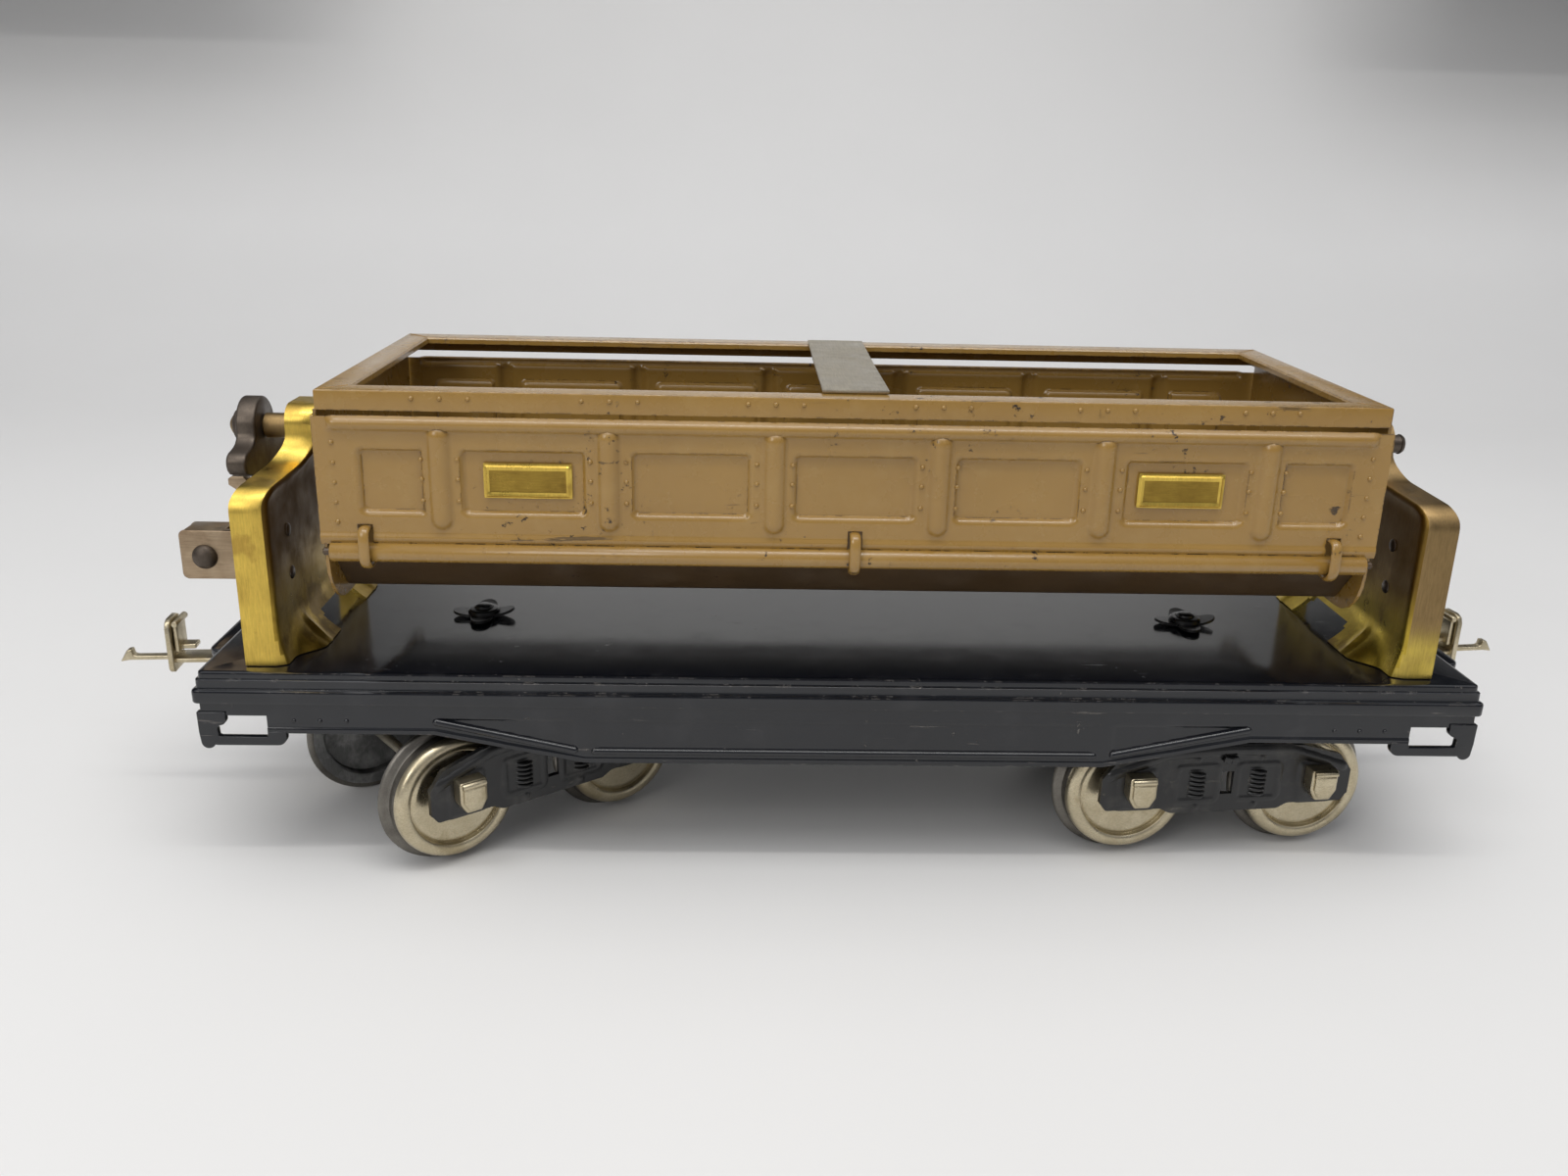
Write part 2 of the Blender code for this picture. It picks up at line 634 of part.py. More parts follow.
def make_top_frame(axis):
    """The angle rail round the bin's mouth, and the strap across it."""
    low = RAIL_TOP - RAIL_HEIGHT
    long, wide = RAIL_HALF_LENGTH, RAIL_HALF_WIDTH
    ring = box((-long, -wide, low), (long, wide, RAIL_TOP), bevel=0.35 * MM, segments=1)
    mouth = box(
        (-long + RAIL_FLANGE, -wide + RAIL_FLANGE, low - 5 * MM),
        (long - RAIL_FLANGE, wide - RAIL_FLANGE, RAIL_TOP + 5 * MM),
    )
    under = box(
        (-long + BIN_SHEET, -wide + BIN_SHEET, low - 5 * MM),
        (long - BIN_SHEET, wide - BIN_SHEET, RAIL_TOP - BIN_SHEET),
    )
    ring = combined(ring, ("DIFFERENCE", mouth), ("DIFFERENCE", under))
    piece("bin_top_frame", moved(ring, (0, 0, -PIVOT_Z)), "tan_enamel", parent=axis)

    strap_low = RAIL_TOP + GAP
    strap = box(
        (-STRAP_HALF_WIDTH, -wide + 4.4 * MM, strap_low),
        (STRAP_HALF_WIDTH, wide - 0.6 * MM, strap_low + STRAP_THICKNESS),
    )
    piece("bin_cross_strap", moved(strap, (0, 0, -PIVOT_Z)), "bright_steel", parent=axis)


def bin_end_outline():
    """A bin end in y and z: straight sides, round lower corners and a flat bottom."""
    wide, corner = BIN_END_HALF_WIDTH, BIN_END_CORNER
    center_z = BIN_END_BOTTOM + corner
    return [
        (-wide, RAIL_TOP - RAIL_HEIGHT - GAP),
        *arc((-wide + corner, center_z), corner, 180, 270, 6),
        *arc((wide - corner, center_z), corner, 270, 360, 6),
        (wide, RAIL_TOP - RAIL_HEIGHT - GAP),
    ]


def make_bin_ends(axis):
    for end, name in ((-1, "bin_end_left"), (1, "bin_end_right")):
        xs = sorted((end * BIN_HALF_LENGTH, end * (BIN_HALF_LENGTH - BIN_SHEET)))
        plate = flat_outline(bin_end_outline(), xs[0], xs[1], "YZ")
        hole = cylinder(TENON_RADIUS + GAP, xs[0] - 5 * MM, xs[1] + 5 * MM, "X")
        plate = combined(plate, ("DIFFERENCE", moved(hole, (0, 0, PIVOT_Z))))
        piece(name, moved(plate, (0, 0, -PIVOT_Z)), "tan_enamel", parent=axis)


def floor_outline():
    """The floor's section in y and z, as a bent sheet."""
    wall = BIN_SHEET
    upper = [
        (-FLOOR_EDGE_Y, FLOOR_EDGE_Z),
        (-FLOOR_KNEE_Y, FLOOR_KNEE_Z),
        (FLOOR_KNEE_Y, FLOOR_KNEE_Z),
        (FLOOR_EDGE_Y, FLOOR_EDGE_Z),
    ]
    slope = math.atan2(FLOOR_EDGE_Z - FLOOR_KNEE_Z, FLOOR_EDGE_Y - FLOOR_KNEE_Y)
    drop = wall / math.cos(slope)
    knee = wall * math.tan(slope / 2)
    lower = [
        (FLOOR_EDGE_Y, FLOOR_EDGE_Z - drop),
        (FLOOR_KNEE_Y + knee, FLOOR_KNEE_Z - wall),
        (-FLOOR_KNEE_Y - knee, FLOOR_KNEE_Z - wall),
        (-FLOOR_EDGE_Y, FLOOR_EDGE_Z - drop),
    ]
    return upper + lower


def hinge_loop(side, place):
    """A strap from the floor's edge that wraps round the door's rolled edge."""
    low, high = place - LOOP_WIDTH / 2, place + LOOP_WIDTH / 2
    ring = cylinder(LOOP_OUTER, low, high, "X", segments=16)
    hole = cylinder(LOOP_INNER, low - 1 * MM, high + 1 * MM, "X", segments=16)
    ring = moved(combined(ring, ("DIFFERENCE", hole)), (0, side * DOOR_Y, HINGE_Z))
    ys = sorted((side * (DOOR_Y - LOOP_INNER - 0.2 * MM), side * (FLOOR_EDGE_Y - 0.8 * MM)))
    tongue = box((low, ys[0], HINGE_Z - 2.2 * MM), (high, ys[1], HINGE_Z - 1.2 * MM))
    return [("UNION", ring), ("UNION", tongue)]


def make_floor(axis):
    half = BIN_HALF_LENGTH - BIN_SHEET - GAP
    sheet = flat_outline(floor_outline(), -half, half, "YZ")
    steps = []
    for side in (-1, 1):
        for place in LOOP_PLACES:
            steps += hinge_loop(side, place)
    sheet = combined(sheet, *steps)
    piece("bin_floor", moved(sheet, (0, 0, -PIVOT_Z)), "tan_enamel", parent=axis)


# Doors


def door_mesh():
    """A door about its hinge axis, for the -y side: sheet, rolled lower edge and slots for the loops."""
    half, wall = BIN_HALF_LENGTH, BIN_SHEET / 2
    top = DOOR_TOP - HINGE_Z
    sheet = box((-half, -wall, ROLL_RADIUS - 0.6 * MM), (half, wall, top))
    roll = cylinder(ROLL_RADIUS, -ROLL_HALF_LENGTH, ROLL_HALF_LENGTH, "X", segments=16)
    bore = cylinder(ROLL_BORE, -half - 2 * MM, half + 2 * MM, "X", segments=12)
    lip = box((-119.3 * MM, -1.5 * MM, top - 2.6 * MM), (119.3 * MM, 0.2 * MM, top - 0.8 * MM), 0.5 * MM)
    steps = [("UNION", roll), ("UNION", lip), ("DIFFERENCE", bore)]
    for place in LOOP_PLACES:
        low, high = place - SLOT_WIDTH / 2, place + SLOT_WIDTH / 2
        slot = box((low, -3 * MM, ROLL_RADIUS - 0.1 * MM), (high, 3 * MM, SLOT_TOP - HINGE_Z))
        steps.append(("DIFFERENCE", slot))
    return combined(sheet, *steps)


def make_doors(pivot):
    """Both side doors, with their hinge rods and name plates."""
    for side, label in ((-1, "near"), (1, "far")):
        place = (0, side * DOOR_Y, HINGE_Z - PIVOT_Z)
        axis = empty(f"door_axis_{label}", place, parent=pivot)
        door = door_mesh()
        if side > 0:
            door.transform(Matrix.Rotation(math.pi, 4, "Z"))
        piece(f"door_{label}", door, "tan_enamel", parent=axis)
        rod = cylinder(ROD_RADIUS, -BIN_HALF_LENGTH, BIN_HALF_LENGTH, "X", segments=12)
        piece(f"hinge_rod_{label}", rod, "dark_iron", parent=axis, smooth=True)
        size = Vector(NAME_PLATE_SIZE)
        face = BIN_SHEET / 2 + GAP + size.y / 2
        plate = box(-size / 2, size / 2, bevel=0.15 * MM, segments=1)
        for end, where in ((-1, "left"), (1, "right")):
            spot = (end * NAME_PLATE_X, side * face, NAME_PLATE_Z - HINGE_Z)
            piece(f"name_plate_{label}_{where}", plate, "brass", parent=axis, place=spot)


# Trucks


def wheel_profile():
    """The wheel's section as (radius, distance out along the axle), down its outer side and back up the bore."""
    bore = AXLE_RADIUS + GAP
    return [
        (14.4 * MM, WHEEL_WIDTH),
        (TREAD_RADIUS - 0.4 * MM, 6.8 * MM),
        (TREAD_RADIUS, 2.4 * MM),
        (FLANGE_RADIUS - 0.5 * MM, 1.8 * MM),
        (FLANGE_RADIUS, 1.1 * MM),
        (FLANGE_RADIUS - 0.8 * MM, 0.0),
        (13.0 * MM, 0.0),
        (12.8 * MM, 2.0 * MM),
        (3.4 * MM, 2.0 * MM),
        (3.2 * MM, 0.4 * MM),
        (bore, 0.4 * MM),
        (bore, 6.4 * MM),
        (3.4 * MM, 6.4 * MM),
        (3.6 * MM, 4.9 * MM),
        (10.8 * MM, 4.7 * MM),
        (11.8 * MM, WHEEL_WIDTH),
    ]


def side_frame_mesh():
    """A truck side frame for the -y side, with its axle holes and the slot at its middle."""
    half = [
        (0.0, 13.6 * MM),
        (19.0 * MM, 13.8 * MM),
        (21.5 * MM, 14.6 * MM),
        (32.0 * MM, 14.8 * MM),
        (34.0 * MM, 17.0 * MM),
        (34.0 * MM, 24.0 * MM),
        (30.5 * MM, 28.5 * MM),
        (20.0 * MM, 31.5 * MM),
        (0.0, 32.4 * MM),
    ]
    outline = half + [(-x, z) for x, z in reversed(half[1:-1])]
    plate = flat_outline(outline, -SIDE_FRAME_Y - SIDE_FRAME_SHEET, -SIDE_FRAME_Y, "XZ")
    steps = []
    for end in (-1, 1):
        hole = cylinder(AXLE_RADIUS + GAP, -40 * MM, -30 * MM, "Y", segments=16)
        steps.append(("DIFFERENCE", moved(hole, (end * WHEELBASE / 2, 0, AXLE_Z))))
    slot = box((-1.7 * MM, -40 * MM, 18.6 * MM), (1.7 * MM, -30 * MM, 25.0 * MM))
    steps.append(("DIFFERENCE", slot))
    return combined(plate, *steps)


def journal_mesh():
    """A journal box for the -y side: square shoulders above, tapering to a blunt point below."""
    wide, deep, high = JOURNAL_SIZE
    outline = [
        (-wide / 2, high / 2),
        (-wide / 2, -high * 0.18),
        (-wide * 0.28, -high / 2),
        (wide * 0.28, -high / 2),
        (wide / 2, -high * 0.18),
        (wide / 2, high / 2),
    ]
    face = -SIDE_FRAME_Y - SIDE_FRAME_SHEET - GAP
    return moved(flat_outline(outline, face - deep, face, "XZ"), (0, 0, JOURNAL_Z))


def bolster_mesh():
    """The strip between the side frames, with its ends turned down."""
    reach = SIDE_FRAME_Y - GAP
    strip = box((-8 * MM, -reach, 33.2 * MM), (8 * MM, reach, 34.8 * MM))
    steps = []
    for side in (-1, 1):
        ys = sorted((side * reach, side * (reach - 1.4 * MM)))
        steps.append(("UNION", box((-8 * MM, ys[0], 26.5 * MM), (8 * MM, ys[1], 33.8 * MM))))
    hole = cylinder(KING_PIN_RADIUS + GAP, 30 * MM, 40 * MM, "Z")
    steps.append(("DIFFERENCE", hole))
    return combined(strip, *steps)


def king_pin_profile():
    """The king pin's section: riveted head below the bolster, plain shank, chamfered top."""
    return [
        (0.0, KING_PIN_TOP),
        (KING_PIN_RADIUS - 0.3 * MM, KING_PIN_TOP),
        (KING_PIN_RADIUS, KING_PIN_TOP - 0.4 * MM),
        (KING_PIN_RADIUS, 33.2 * MM - GAP),
        (4.2 * MM, 33.2 * MM - GAP),
        (4.0 * MM, 31.6 * MM),
        (0.0, 31.4 * MM),
    ]


def turned_copy(mesh, flip):
    """A copy of the mesh, turned half round about Z if flip is true."""
    copy = mesh.copy()
    if flip:
        copy.transform(Matrix.Rotation(math.pi, 4, "Z"))
    return copy


def make_truck(label, end):
    """One four-wheel truck about its king pin."""
    axis = empty(f"truck_axis_{label}", (end * TRUCK_X, 0, 0), TRUCK_REST_TURN[label])
    frame, journal = side_frame_mesh(), journal_mesh()
    wheel = turned_shape(wheel_profile(), "Y", WHEEL_SEGMENTS)
    axle = cylinder(AXLE_RADIUS, -AXLE_HALF_LENGTH, AXLE_HALF_LENGTH, "Y", segments=16)
    for side, where in ((-1, "near"), (1, "far")):
        flip = side > 0
        piece(f"side_frame_{label}_{where}", turned_copy(frame, flip), "truck_black", parent=axis)
    for step, position in ((-1, "outer"), (1, "inner")):
        x = end * -step * WHEELBASE / 2
        name = f"axle_{label}_{position}"
        piece(name, axle, "bright_steel", parent=axis, place=(x, 0, AXLE_Z), smooth=True)
        for side, where in ((-1, "near"), (1, "far")):
            flip = side > 0
            name = f"journal_box_{label}_{position}_{where}"
            piece(name, turned_copy(journal, flip), "nickel", parent=axis, place=(x, 0, 0))
            turned = turned_copy(wheel, not flip)
            inner_face = side * (WHEEL_FACE_Y - WHEEL_WIDTH)
            place = (x, inner_face, AXLE_Z)
            name = f"wheel_{label}_{position}_{where}"
            piece(name, turned, "nickel", parent=axis, place=place, smooth=True)
    piece(f"bolster_{label}", bolster_mesh(), "truck_black", parent=axis)
    pin = turned_shape(king_pin_profile(), "Z", 20)
    piece(f"king_pin_{label}", pin, "truck_black", parent=axis, smooth=True)


def make_truck_clip(label, end):
    """The cross-shaped spring clip that holds a king pin above the deck."""
    low, high = DECK_TOP + GAP, DECK_TOP + GAP + 0.8 * MM
    long = box((-8.2 * MM, -3.0 * MM, low), (8.2 * MM, 3.0 * MM, high), bevel=0.3 * MM, segments=1)
    across = box((-2.9 * MM, -8.6 * MM, low), (2.9 * MM, 8.6 * MM, high), bevel=0.3 * MM, segments=1)
    collar = cylinder(4.2 * MM, low + 0.2 * MM, high + 1.0 * MM, "Z")
    hole = cylinder(KING_PIN_RADIUS + GAP, 50 * MM, 60 * MM, "Z")
    clip = combined(long, ("UNION", across), ("UNION", collar), ("DIFFERENCE", hole))
    piece(f"truck_clip_{label}", clip, "truck_black", place=(end * TRUCK_X, 0, 0))


# Couplers


def coupler_arm_mesh():
    """A coupler along +x from its king pin: eye, flat shank, upright head plate and hooked prong."""
    high = ARM_Z + ARM_THICKNESS
    eye = cylinder(6.0 * MM, ARM_Z, high, "Z")
    shank = box((0, -ARM_WIDTH / 2, ARM_Z), (HEAD_X, ARM_WIDTH / 2, high))
    plate_end = HEAD_X + 1.5 * MM
    plate = box(
        (HEAD_X, -HEAD_HALF_WIDTH, HEAD_Z[0]), (plate_end, HEAD_HALF_WIDTH, HEAD_Z[1]), 0.4 * MM, 1
    )
    prong_end = HEAD_X + PRONG_LENGTH
    prong = box((HEAD_X + 0.5 * MM, -1.3 * MM, ARM_Z + 0.1 * MM), (prong_end, 1.3 * MM, high))
    barb = [
        (prong_end - 1.4 * MM, ARM_Z + 0.2 * MM),
        (prong_end + 2.8 * MM, ARM_Z - 0.4 * MM),
        (prong_end + 0.6 * MM, ARM_Z + 3.0 * MM),
        (prong_end - 0.6 * MM, ARM_Z + 3.0 * MM),
    ]
    slot_low, slot_high = HEAD_SLOT_Z
    slot = box((HEAD_X - 3 * MM, -1.2 * MM, slot_low), (plate_end + 3 * MM, 1.2 * MM, slot_high))
    hole = cylinder(KING_PIN_RADIUS + GAP, 30 * MM, 50 * MM, "Z")
    return combined(
        shank,
        ("UNION", eye),
        ("UNION", plate),
        ("UNION", prong),
        ("UNION", flat_outline(barb, -1.3 * MM, 1.3 * MM, "XZ")),
        ("DIFFERENCE", slot),
        ("DIFFERENCE", hole),
    )


def coupler_latch_mesh():
    """The latch that hangs behind the head plate from its top edge, with a finger tab at its foot."""
    back = -GAP
    bar = box((back - 1.2 * MM, -3.4 * MM, -8.0 * MM), (back, 3.4 * MM, 0.5 * MM), 0.3 * MM, 1)
    tab = box((back - 5.0 * MM, -2.0 * MM, -7.6 * MM), (back - 0.4 * MM, 2.0 * MM, -6.3 * MM))
    return combined(bar, ("UNION", tab))


def make_coupler(label, end):
    turn = COUPLER_REST_TURN[label] + (math.pi if end < 0 else 0.0)
    axis = empty(f"coupler_axis_{label}", (end * TRUCK_X, 0, 0), turn)
    piece(f"coupler_arm_{label}", coupler_arm_mesh(), "nickel", parent=axis)
    latch_axis = empty(f"latch_axis_{label}", (HEAD_X, 0, LATCH_PIVOT_Z), parent=axis)
    piece(f"coupler_latch_{label}", coupler_latch_mesh(), "nickel", parent=latch_axis)


def main():
    global PARTS, CUTTERS
    clear_scene()
    PARTS = new_collection("side_dump_car")
    CUTTERS = new_collection("cutters")
    for name in FINISHES:
        MATERIALS[name] = new_material(name)
    make_deck()
    make_end_frames()
    make_catch()
    pivot = empty("bin_pivot", (0, 0, PIVOT_Z))
    make_tipping_gear(pivot)
    make_top_frame(pivot)
    make_bin_ends(pivot)
    make_floor(pivot)
    make_doors(pivot)
    for label, end in (("left", -1), ("right", 1)):
        make_truck(label, end)
        make_truck_clip(label, end)
        make_coupler(label, end)


main()
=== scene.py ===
"""The side-dump car's visual model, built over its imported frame.

Each sub-assembly is a class whose fields are its sizes in millimetres. Its methods build the meshes,
dress them in a finish and hand them to the frame, which moves them with their bodies. Meshes are
made in millimetres, in the car's own frame: X along the car, Y across it, Z up.
"""
import json
import logging
import math
from collections.abc import Callable, Iterable, Sequence
from dataclasses import dataclass, field
from enum import Enum

import bmesh
import bpy
from mathutils import Matrix, Vector


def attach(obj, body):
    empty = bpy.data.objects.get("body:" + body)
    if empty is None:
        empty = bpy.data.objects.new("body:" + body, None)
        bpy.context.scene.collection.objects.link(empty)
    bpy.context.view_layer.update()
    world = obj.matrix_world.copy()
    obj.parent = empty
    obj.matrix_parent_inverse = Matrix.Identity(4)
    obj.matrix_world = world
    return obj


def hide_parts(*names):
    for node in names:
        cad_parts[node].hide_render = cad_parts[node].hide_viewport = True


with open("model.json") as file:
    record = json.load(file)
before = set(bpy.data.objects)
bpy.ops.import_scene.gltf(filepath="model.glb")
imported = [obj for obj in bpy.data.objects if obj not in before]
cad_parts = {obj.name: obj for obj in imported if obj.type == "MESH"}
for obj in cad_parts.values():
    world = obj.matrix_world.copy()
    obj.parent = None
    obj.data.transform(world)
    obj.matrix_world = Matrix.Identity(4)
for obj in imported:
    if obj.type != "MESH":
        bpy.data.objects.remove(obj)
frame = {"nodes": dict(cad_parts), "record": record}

logging.basicConfig(level=logging.INFO, format="%(name)s: %(message)s")
LOG = logging.getLogger("dump_car")

MM = 0.001
Point = tuple[float, float, float]
Flat = tuple[float, float]
Color = tuple[float, float, float]


class Coat(Enum):
    """The finishes of the car, by name."""

    TAN = "tan_enamel"
    # painted shade: a darker copy of the tan enamel for the bin's floor and the hinge rod's ends, which lie
    # in shade
    TAN_UNDER = "tan_enamel_shaded"
    BLACK = "black_enamel"
    TRUCK = "truck_enamel"
    BRASS = "polished_brass"
    OLD_BRASS = "tarnished_brass"
    # painted shade: darker brass for the end frames' web faces towards the bin, which lie in the bin's shade;
    # partly tarnish too
    WEB = "brass_web"
    OLD_WEB = "tarnished_brass_web"
    PLATE = "plate_ground"
    STRAP = "strap_steel"
    BRACKET = "coppery_steel"
    IRON = "dark_iron"
    NICKEL = "aged_nickel"
    TREAD = "worn_tread"
    WHEEL_BACK = "stained_wheel_back"
    PAPER = "studio_paper"


class Slot(Enum):
    """The record's material slots."""

    BLACK = "black_enamel"
    TAN = "tan_enamel"
    BRASS = "brass"
    STEEL = "bright_steel"
    IRON = "dark_iron"
    NICKEL = "nickel"
    TRUCK = "truck_black"


class End(Enum):
    """The car's two ends."""

    LEFT = -1
    RIGHT = 1

    @property
    def label(self) -> str:
        """The end's name, as the frame's nodes spell it."""
        return self.name.lower()


class Side(Enum):
    """The car's two long sides."""

    NEAR = -1
    FAR = 1

    @property
    def label(self) -> str:
        """The side's name, as the frame's nodes spell it."""
        return self.name.lower()


# Materials


class Painter:
    """Builds the node network of one material around its Principled shader."""

    def __init__(self, name: str, metallic: float, roughness: float) -> None:
        """Starts the material.

        Args:
            name: The material's name.
            metallic: The shader's metallic value.
            roughness: The shader's roughness before any variation.
        """
        self.material = bpy.data.materials.new(name)
        self.material.use_nodes = True
        self.tree = self.material.node_tree
        self.shader = self.tree.nodes["Principled BSDF"]
        self.shader.inputs["Metallic"].default_value = metallic
        self.shader.inputs["Roughness"].default_value = roughness
        self.coords = self.node("ShaderNodeTexCoord").outputs["Object"]

    def node(self, kind: str, **settings: object) -> bpy.types.Node:
        """Adds a node with these settings."""
        made = self.tree.nodes.new(kind)
        for key, value in settings.items():
            setattr(made, key, value)
        return made

    def feed(self, target: bpy.types.NodeSocket, source: object) -> None:
        """Links a socket to the target, or sets the target's own value."""
        if isinstance(source, bpy.types.NodeSocket):
            self.tree.links.new(source, target)
        elif isinstance(source, tuple):
            target.default_value = (*source, 1.0) if len(target.default_value) > len(source) else source
        else:
            target.default_value = source

    def math(self, operation: str, *values: object, clamp: bool = False) -> bpy.types.NodeSocket:
        """The result of a Math node on these values."""
        made = self.node("ShaderNodeMath", operation=operation, use_clamp=clamp)
        for target, value in zip(made.inputs, values):
            self.feed(target, value)
        return made.outputs[0]

    def stretched(self, stretch: Point, turn: float = 0.0) -> bpy.types.NodeSocket:
        """Object coordinates scaled by stretch, after a turn about Z in degrees."""
        mapping = self.node("ShaderNodeMapping")
        mapping.inputs["Scale"].default_value = stretch
        mapping.inputs["Rotation"].default_value = (0, 0, math.radians(turn))
        self.feed(mapping.inputs["Vector"], self.coords)
        return mapping.outputs[0]

    def noise(
        self, size: float, detail: float = 4.0, rough: float = 0.55, stretch: Point = (1, 1, 1)
    ) -> bpy.types.NodeSocket:
        """Noise whose features are about this size in millimetres."""
        made = self.node("ShaderNodeTexNoise")
        made.inputs["Scale"].default_value = 1.0 / (size * MM)
        made.inputs["Detail"].default_value = detail
        made.inputs["Roughness"].default_value = rough
        source = self.coords if stretch == (1, 1, 1) else self.stretched(stretch)
        self.feed(made.inputs["Vector"], source)
        return made.outputs["Fac"]

    def cells(self, size: float, stretch: Point = (1, 1, 1)) -> bpy.types.NodeSocket:
        """The distance to the nearest of many scattered points, this far apart in millimetres."""
        made = self.node("ShaderNodeTexVoronoi")
        made.inputs["Scale"].default_value = 1.0 / (size * MM)
        source = self.coords if stretch == (1, 1, 1) else self.stretched(stretch)
        self.feed(made.inputs["Vector"], source)
        return made.outputs["Distance"]

    def band(self, value: object, low: float, high: float) -> bpy.types.NodeSocket:
        """A smooth rise from 0 at low to 1 at high. It falls if high is the smaller."""
        made = self.node("ShaderNodeMapRange", interpolation_type="SMOOTHSTEP")
        flip = high < low
        self.feed(made.inputs["Value"], value)
        made.inputs["From Min"].default_value = min(low, high)
        made.inputs["From Max"].default_value = max(low, high)
        made.inputs["To Min"].default_value = 1.0 if flip else 0.0
        made.inputs["To Max"].default_value = 0.0 if flip else 1.0
        return made.outputs["Result"]

    def spread(self, value: object, low: float, high: float) -> bpy.types.NodeSocket:
        """A value of about 0.3 to 0.7 spread out to run from low to high."""
        made = self.node("ShaderNodeMapRange")
        self.feed(made.inputs["Value"], value)
        made.inputs["From Min"].default_value = 0.3
        made.inputs["From Max"].default_value = 0.7
        made.inputs["To Min"].default_value = low
        made.inputs["To Max"].default_value = high
        return made.outputs["Result"]

    def mix(self, factor: object, first: object, second: object) -> bpy.types.NodeSocket:
        """A blend of two colours."""
        made = self.node("ShaderNodeMix", data_type="RGBA")
        self.feed(made.inputs[0], factor)
        self.feed(made.inputs[6], first)
        self.feed(made.inputs[7], second)
        return made.outputs[2]

    def edges(self, radius: float) -> bpy.types.NodeSocket:
        """How sharply the surface turns within this radius in millimetres, from 0 on a flat."""
        bevel = self.node("ShaderNodeBevel", samples=4)
        bevel.inputs["Radius"].default_value = radius * MM
        normal = self.node("ShaderNodeNewGeometry").outputs["Normal"]
        dot = self.node("ShaderNodeVectorMath", operation="DOT_PRODUCT")
        self.feed(dot.inputs[0], bevel.outputs[0])
        self.feed(dot.inputs[1], normal)
        return self.math("SUBTRACT", 1.0, dot.outputs["Value"])

    def upward(self) -> bpy.types.NodeSocket:
        """How much the surface faces up, from -1 to 1."""
        normal = self.node("ShaderNodeNewGeometry").outputs["Normal"]
        split = self.node("ShaderNodeSeparateXYZ")
        self.feed(split.inputs[0], normal)
        return split.outputs["Z"]

    def bump(self, height: object, depth: float, strength: float = 1.0) -> None:
        """Bumps the surface by this height, over a depth in millimetres."""
        made = self.node("ShaderNodeBump")
        made.inputs["Strength"].default_value = strength
        made.inputs["Distance"].default_value = depth * MM
        self.feed(made.inputs["Height"], height)
        self.feed(self.shader.inputs["Normal"], made.outputs[0])

    def color(self, source: object) -> None:
        """Sets the base colour."""
        self.feed(self.shader.inputs["Base Color"], source)

    def rough(self, source: object) -> None:
        """Sets the roughness."""
        self.feed(self.shader.inputs["Roughness"], source)

    def metallic(self, source: object) -> None:
        """Sets the metallic value."""
        self.feed(self.shader.inputs["Metallic"], source)


@dataclass(frozen=True)
class Enamel:
    """Baked enamel over tinplate, with worn edges, chips, scuffs and settled dust."""

    coat: Coat
    color: Color
    shade: Color
    bare: Color
    dust: Color
    roughness: float
    gloss: float
    wear: float
    chips: float
    dusting: float
    wave: float = 0.4

    def build(self) -> bpy.types.Material:
        """Builds the material.

        Returns:
            The finished material.
        """
        paint = Painter(self.coat.value, 0.0, self.roughness)
        paint.shader.inputs["Coat Weight"].default_value = self.gloss
        paint.shader.inputs["Coat Roughness"].default_value = 0.12
        cloud = paint.noise(34, detail=5)
        speck = paint.noise(1.1, detail=6, rough=0.65)
        body = paint.mix(paint.spread(cloud, 0.0, 1.0), self.color, self.shade)

        grime = paint.band(paint.noise(9, detail=7, rough=0.62), 0.5, 0.72)
        grime = paint.math("MULTIPLY", grime, self.dusting)
        body = paint.mix(grime, body, self.dust)
        sprinkle = paint.band(paint.cells(2.6), 0.11, 0.03)
        sprinkle = paint.math("MULTIPLY", sprinkle, paint.band(paint.upward(), 0.2, 0.9))
        sprinkle = paint.math("MULTIPLY", sprinkle, min(1.0, self.dusting * 1.4))
        body = paint.mix(sprinkle, body, self.dust)

        edge = paint.band(paint.edges(0.5), 0.025, 0.12)
        gate_low = 0.6 - self.wear * 0.1
        gate = paint.band(paint.noise(4.2, detail=7, rough=0.72), gate_low, gate_low + 0.035)
        worn = paint.math("MULTIPLY", edge, gate)
        chip_low = 0.675 - self.chips * 0.06
        chip_place = paint.band(paint.noise(3.1, detail=8, rough=0.74), chip_low, chip_low + 0.015)
        patchy = paint.band(paint.noise(38, detail=2), 0.48, 0.58)
        chip = paint.math("MULTIPLY", chip_place, patchy)
        streak = paint.band(paint.noise(2.0, detail=5, rough=0.6, stretch=(0.09, 1, 1.2)), 0.655, 0.68)
        streak = paint.math("MULTIPLY", streak, paint.math("MULTIPLY", patchy, 0.6))
        lost = paint.math("MAXIMUM", worn, paint.math("MAXIMUM", chip, streak), clamp=True)
        metal = paint.mix(paint.spread(speck, 0.0, 1.0), self.bare, tuple(c * 0.35 for c in self.bare))
        paint.color(paint.mix(lost, body, metal))

        rough = paint.spread(paint.noise(12, detail=6), self.roughness * 0.75, self.roughness * 1.3)
        rough = paint.math("ADD", rough, paint.math("MULTIPLY", lost, 0.22))
        rough = paint.math("ADD", rough, paint.math("MULTIPLY", grime, 0.3), clamp=True)
        paint.rough(rough)
        paint.metallic(paint.math("MULTIPLY", lost, 0.55))
        ripple = paint.math("MULTIPLY", paint.noise(0.9, detail=2), 0.05)
        wave = paint.math("MULTIPLY", paint.noise(19, detail=1), self.wave)
        height = paint.math("ADD", paint.math("ADD", ripple, wave), paint.math("MULTIPLY", lost, -0.5))
        paint.bump(height, 0.11, 0.8)
        return paint.material


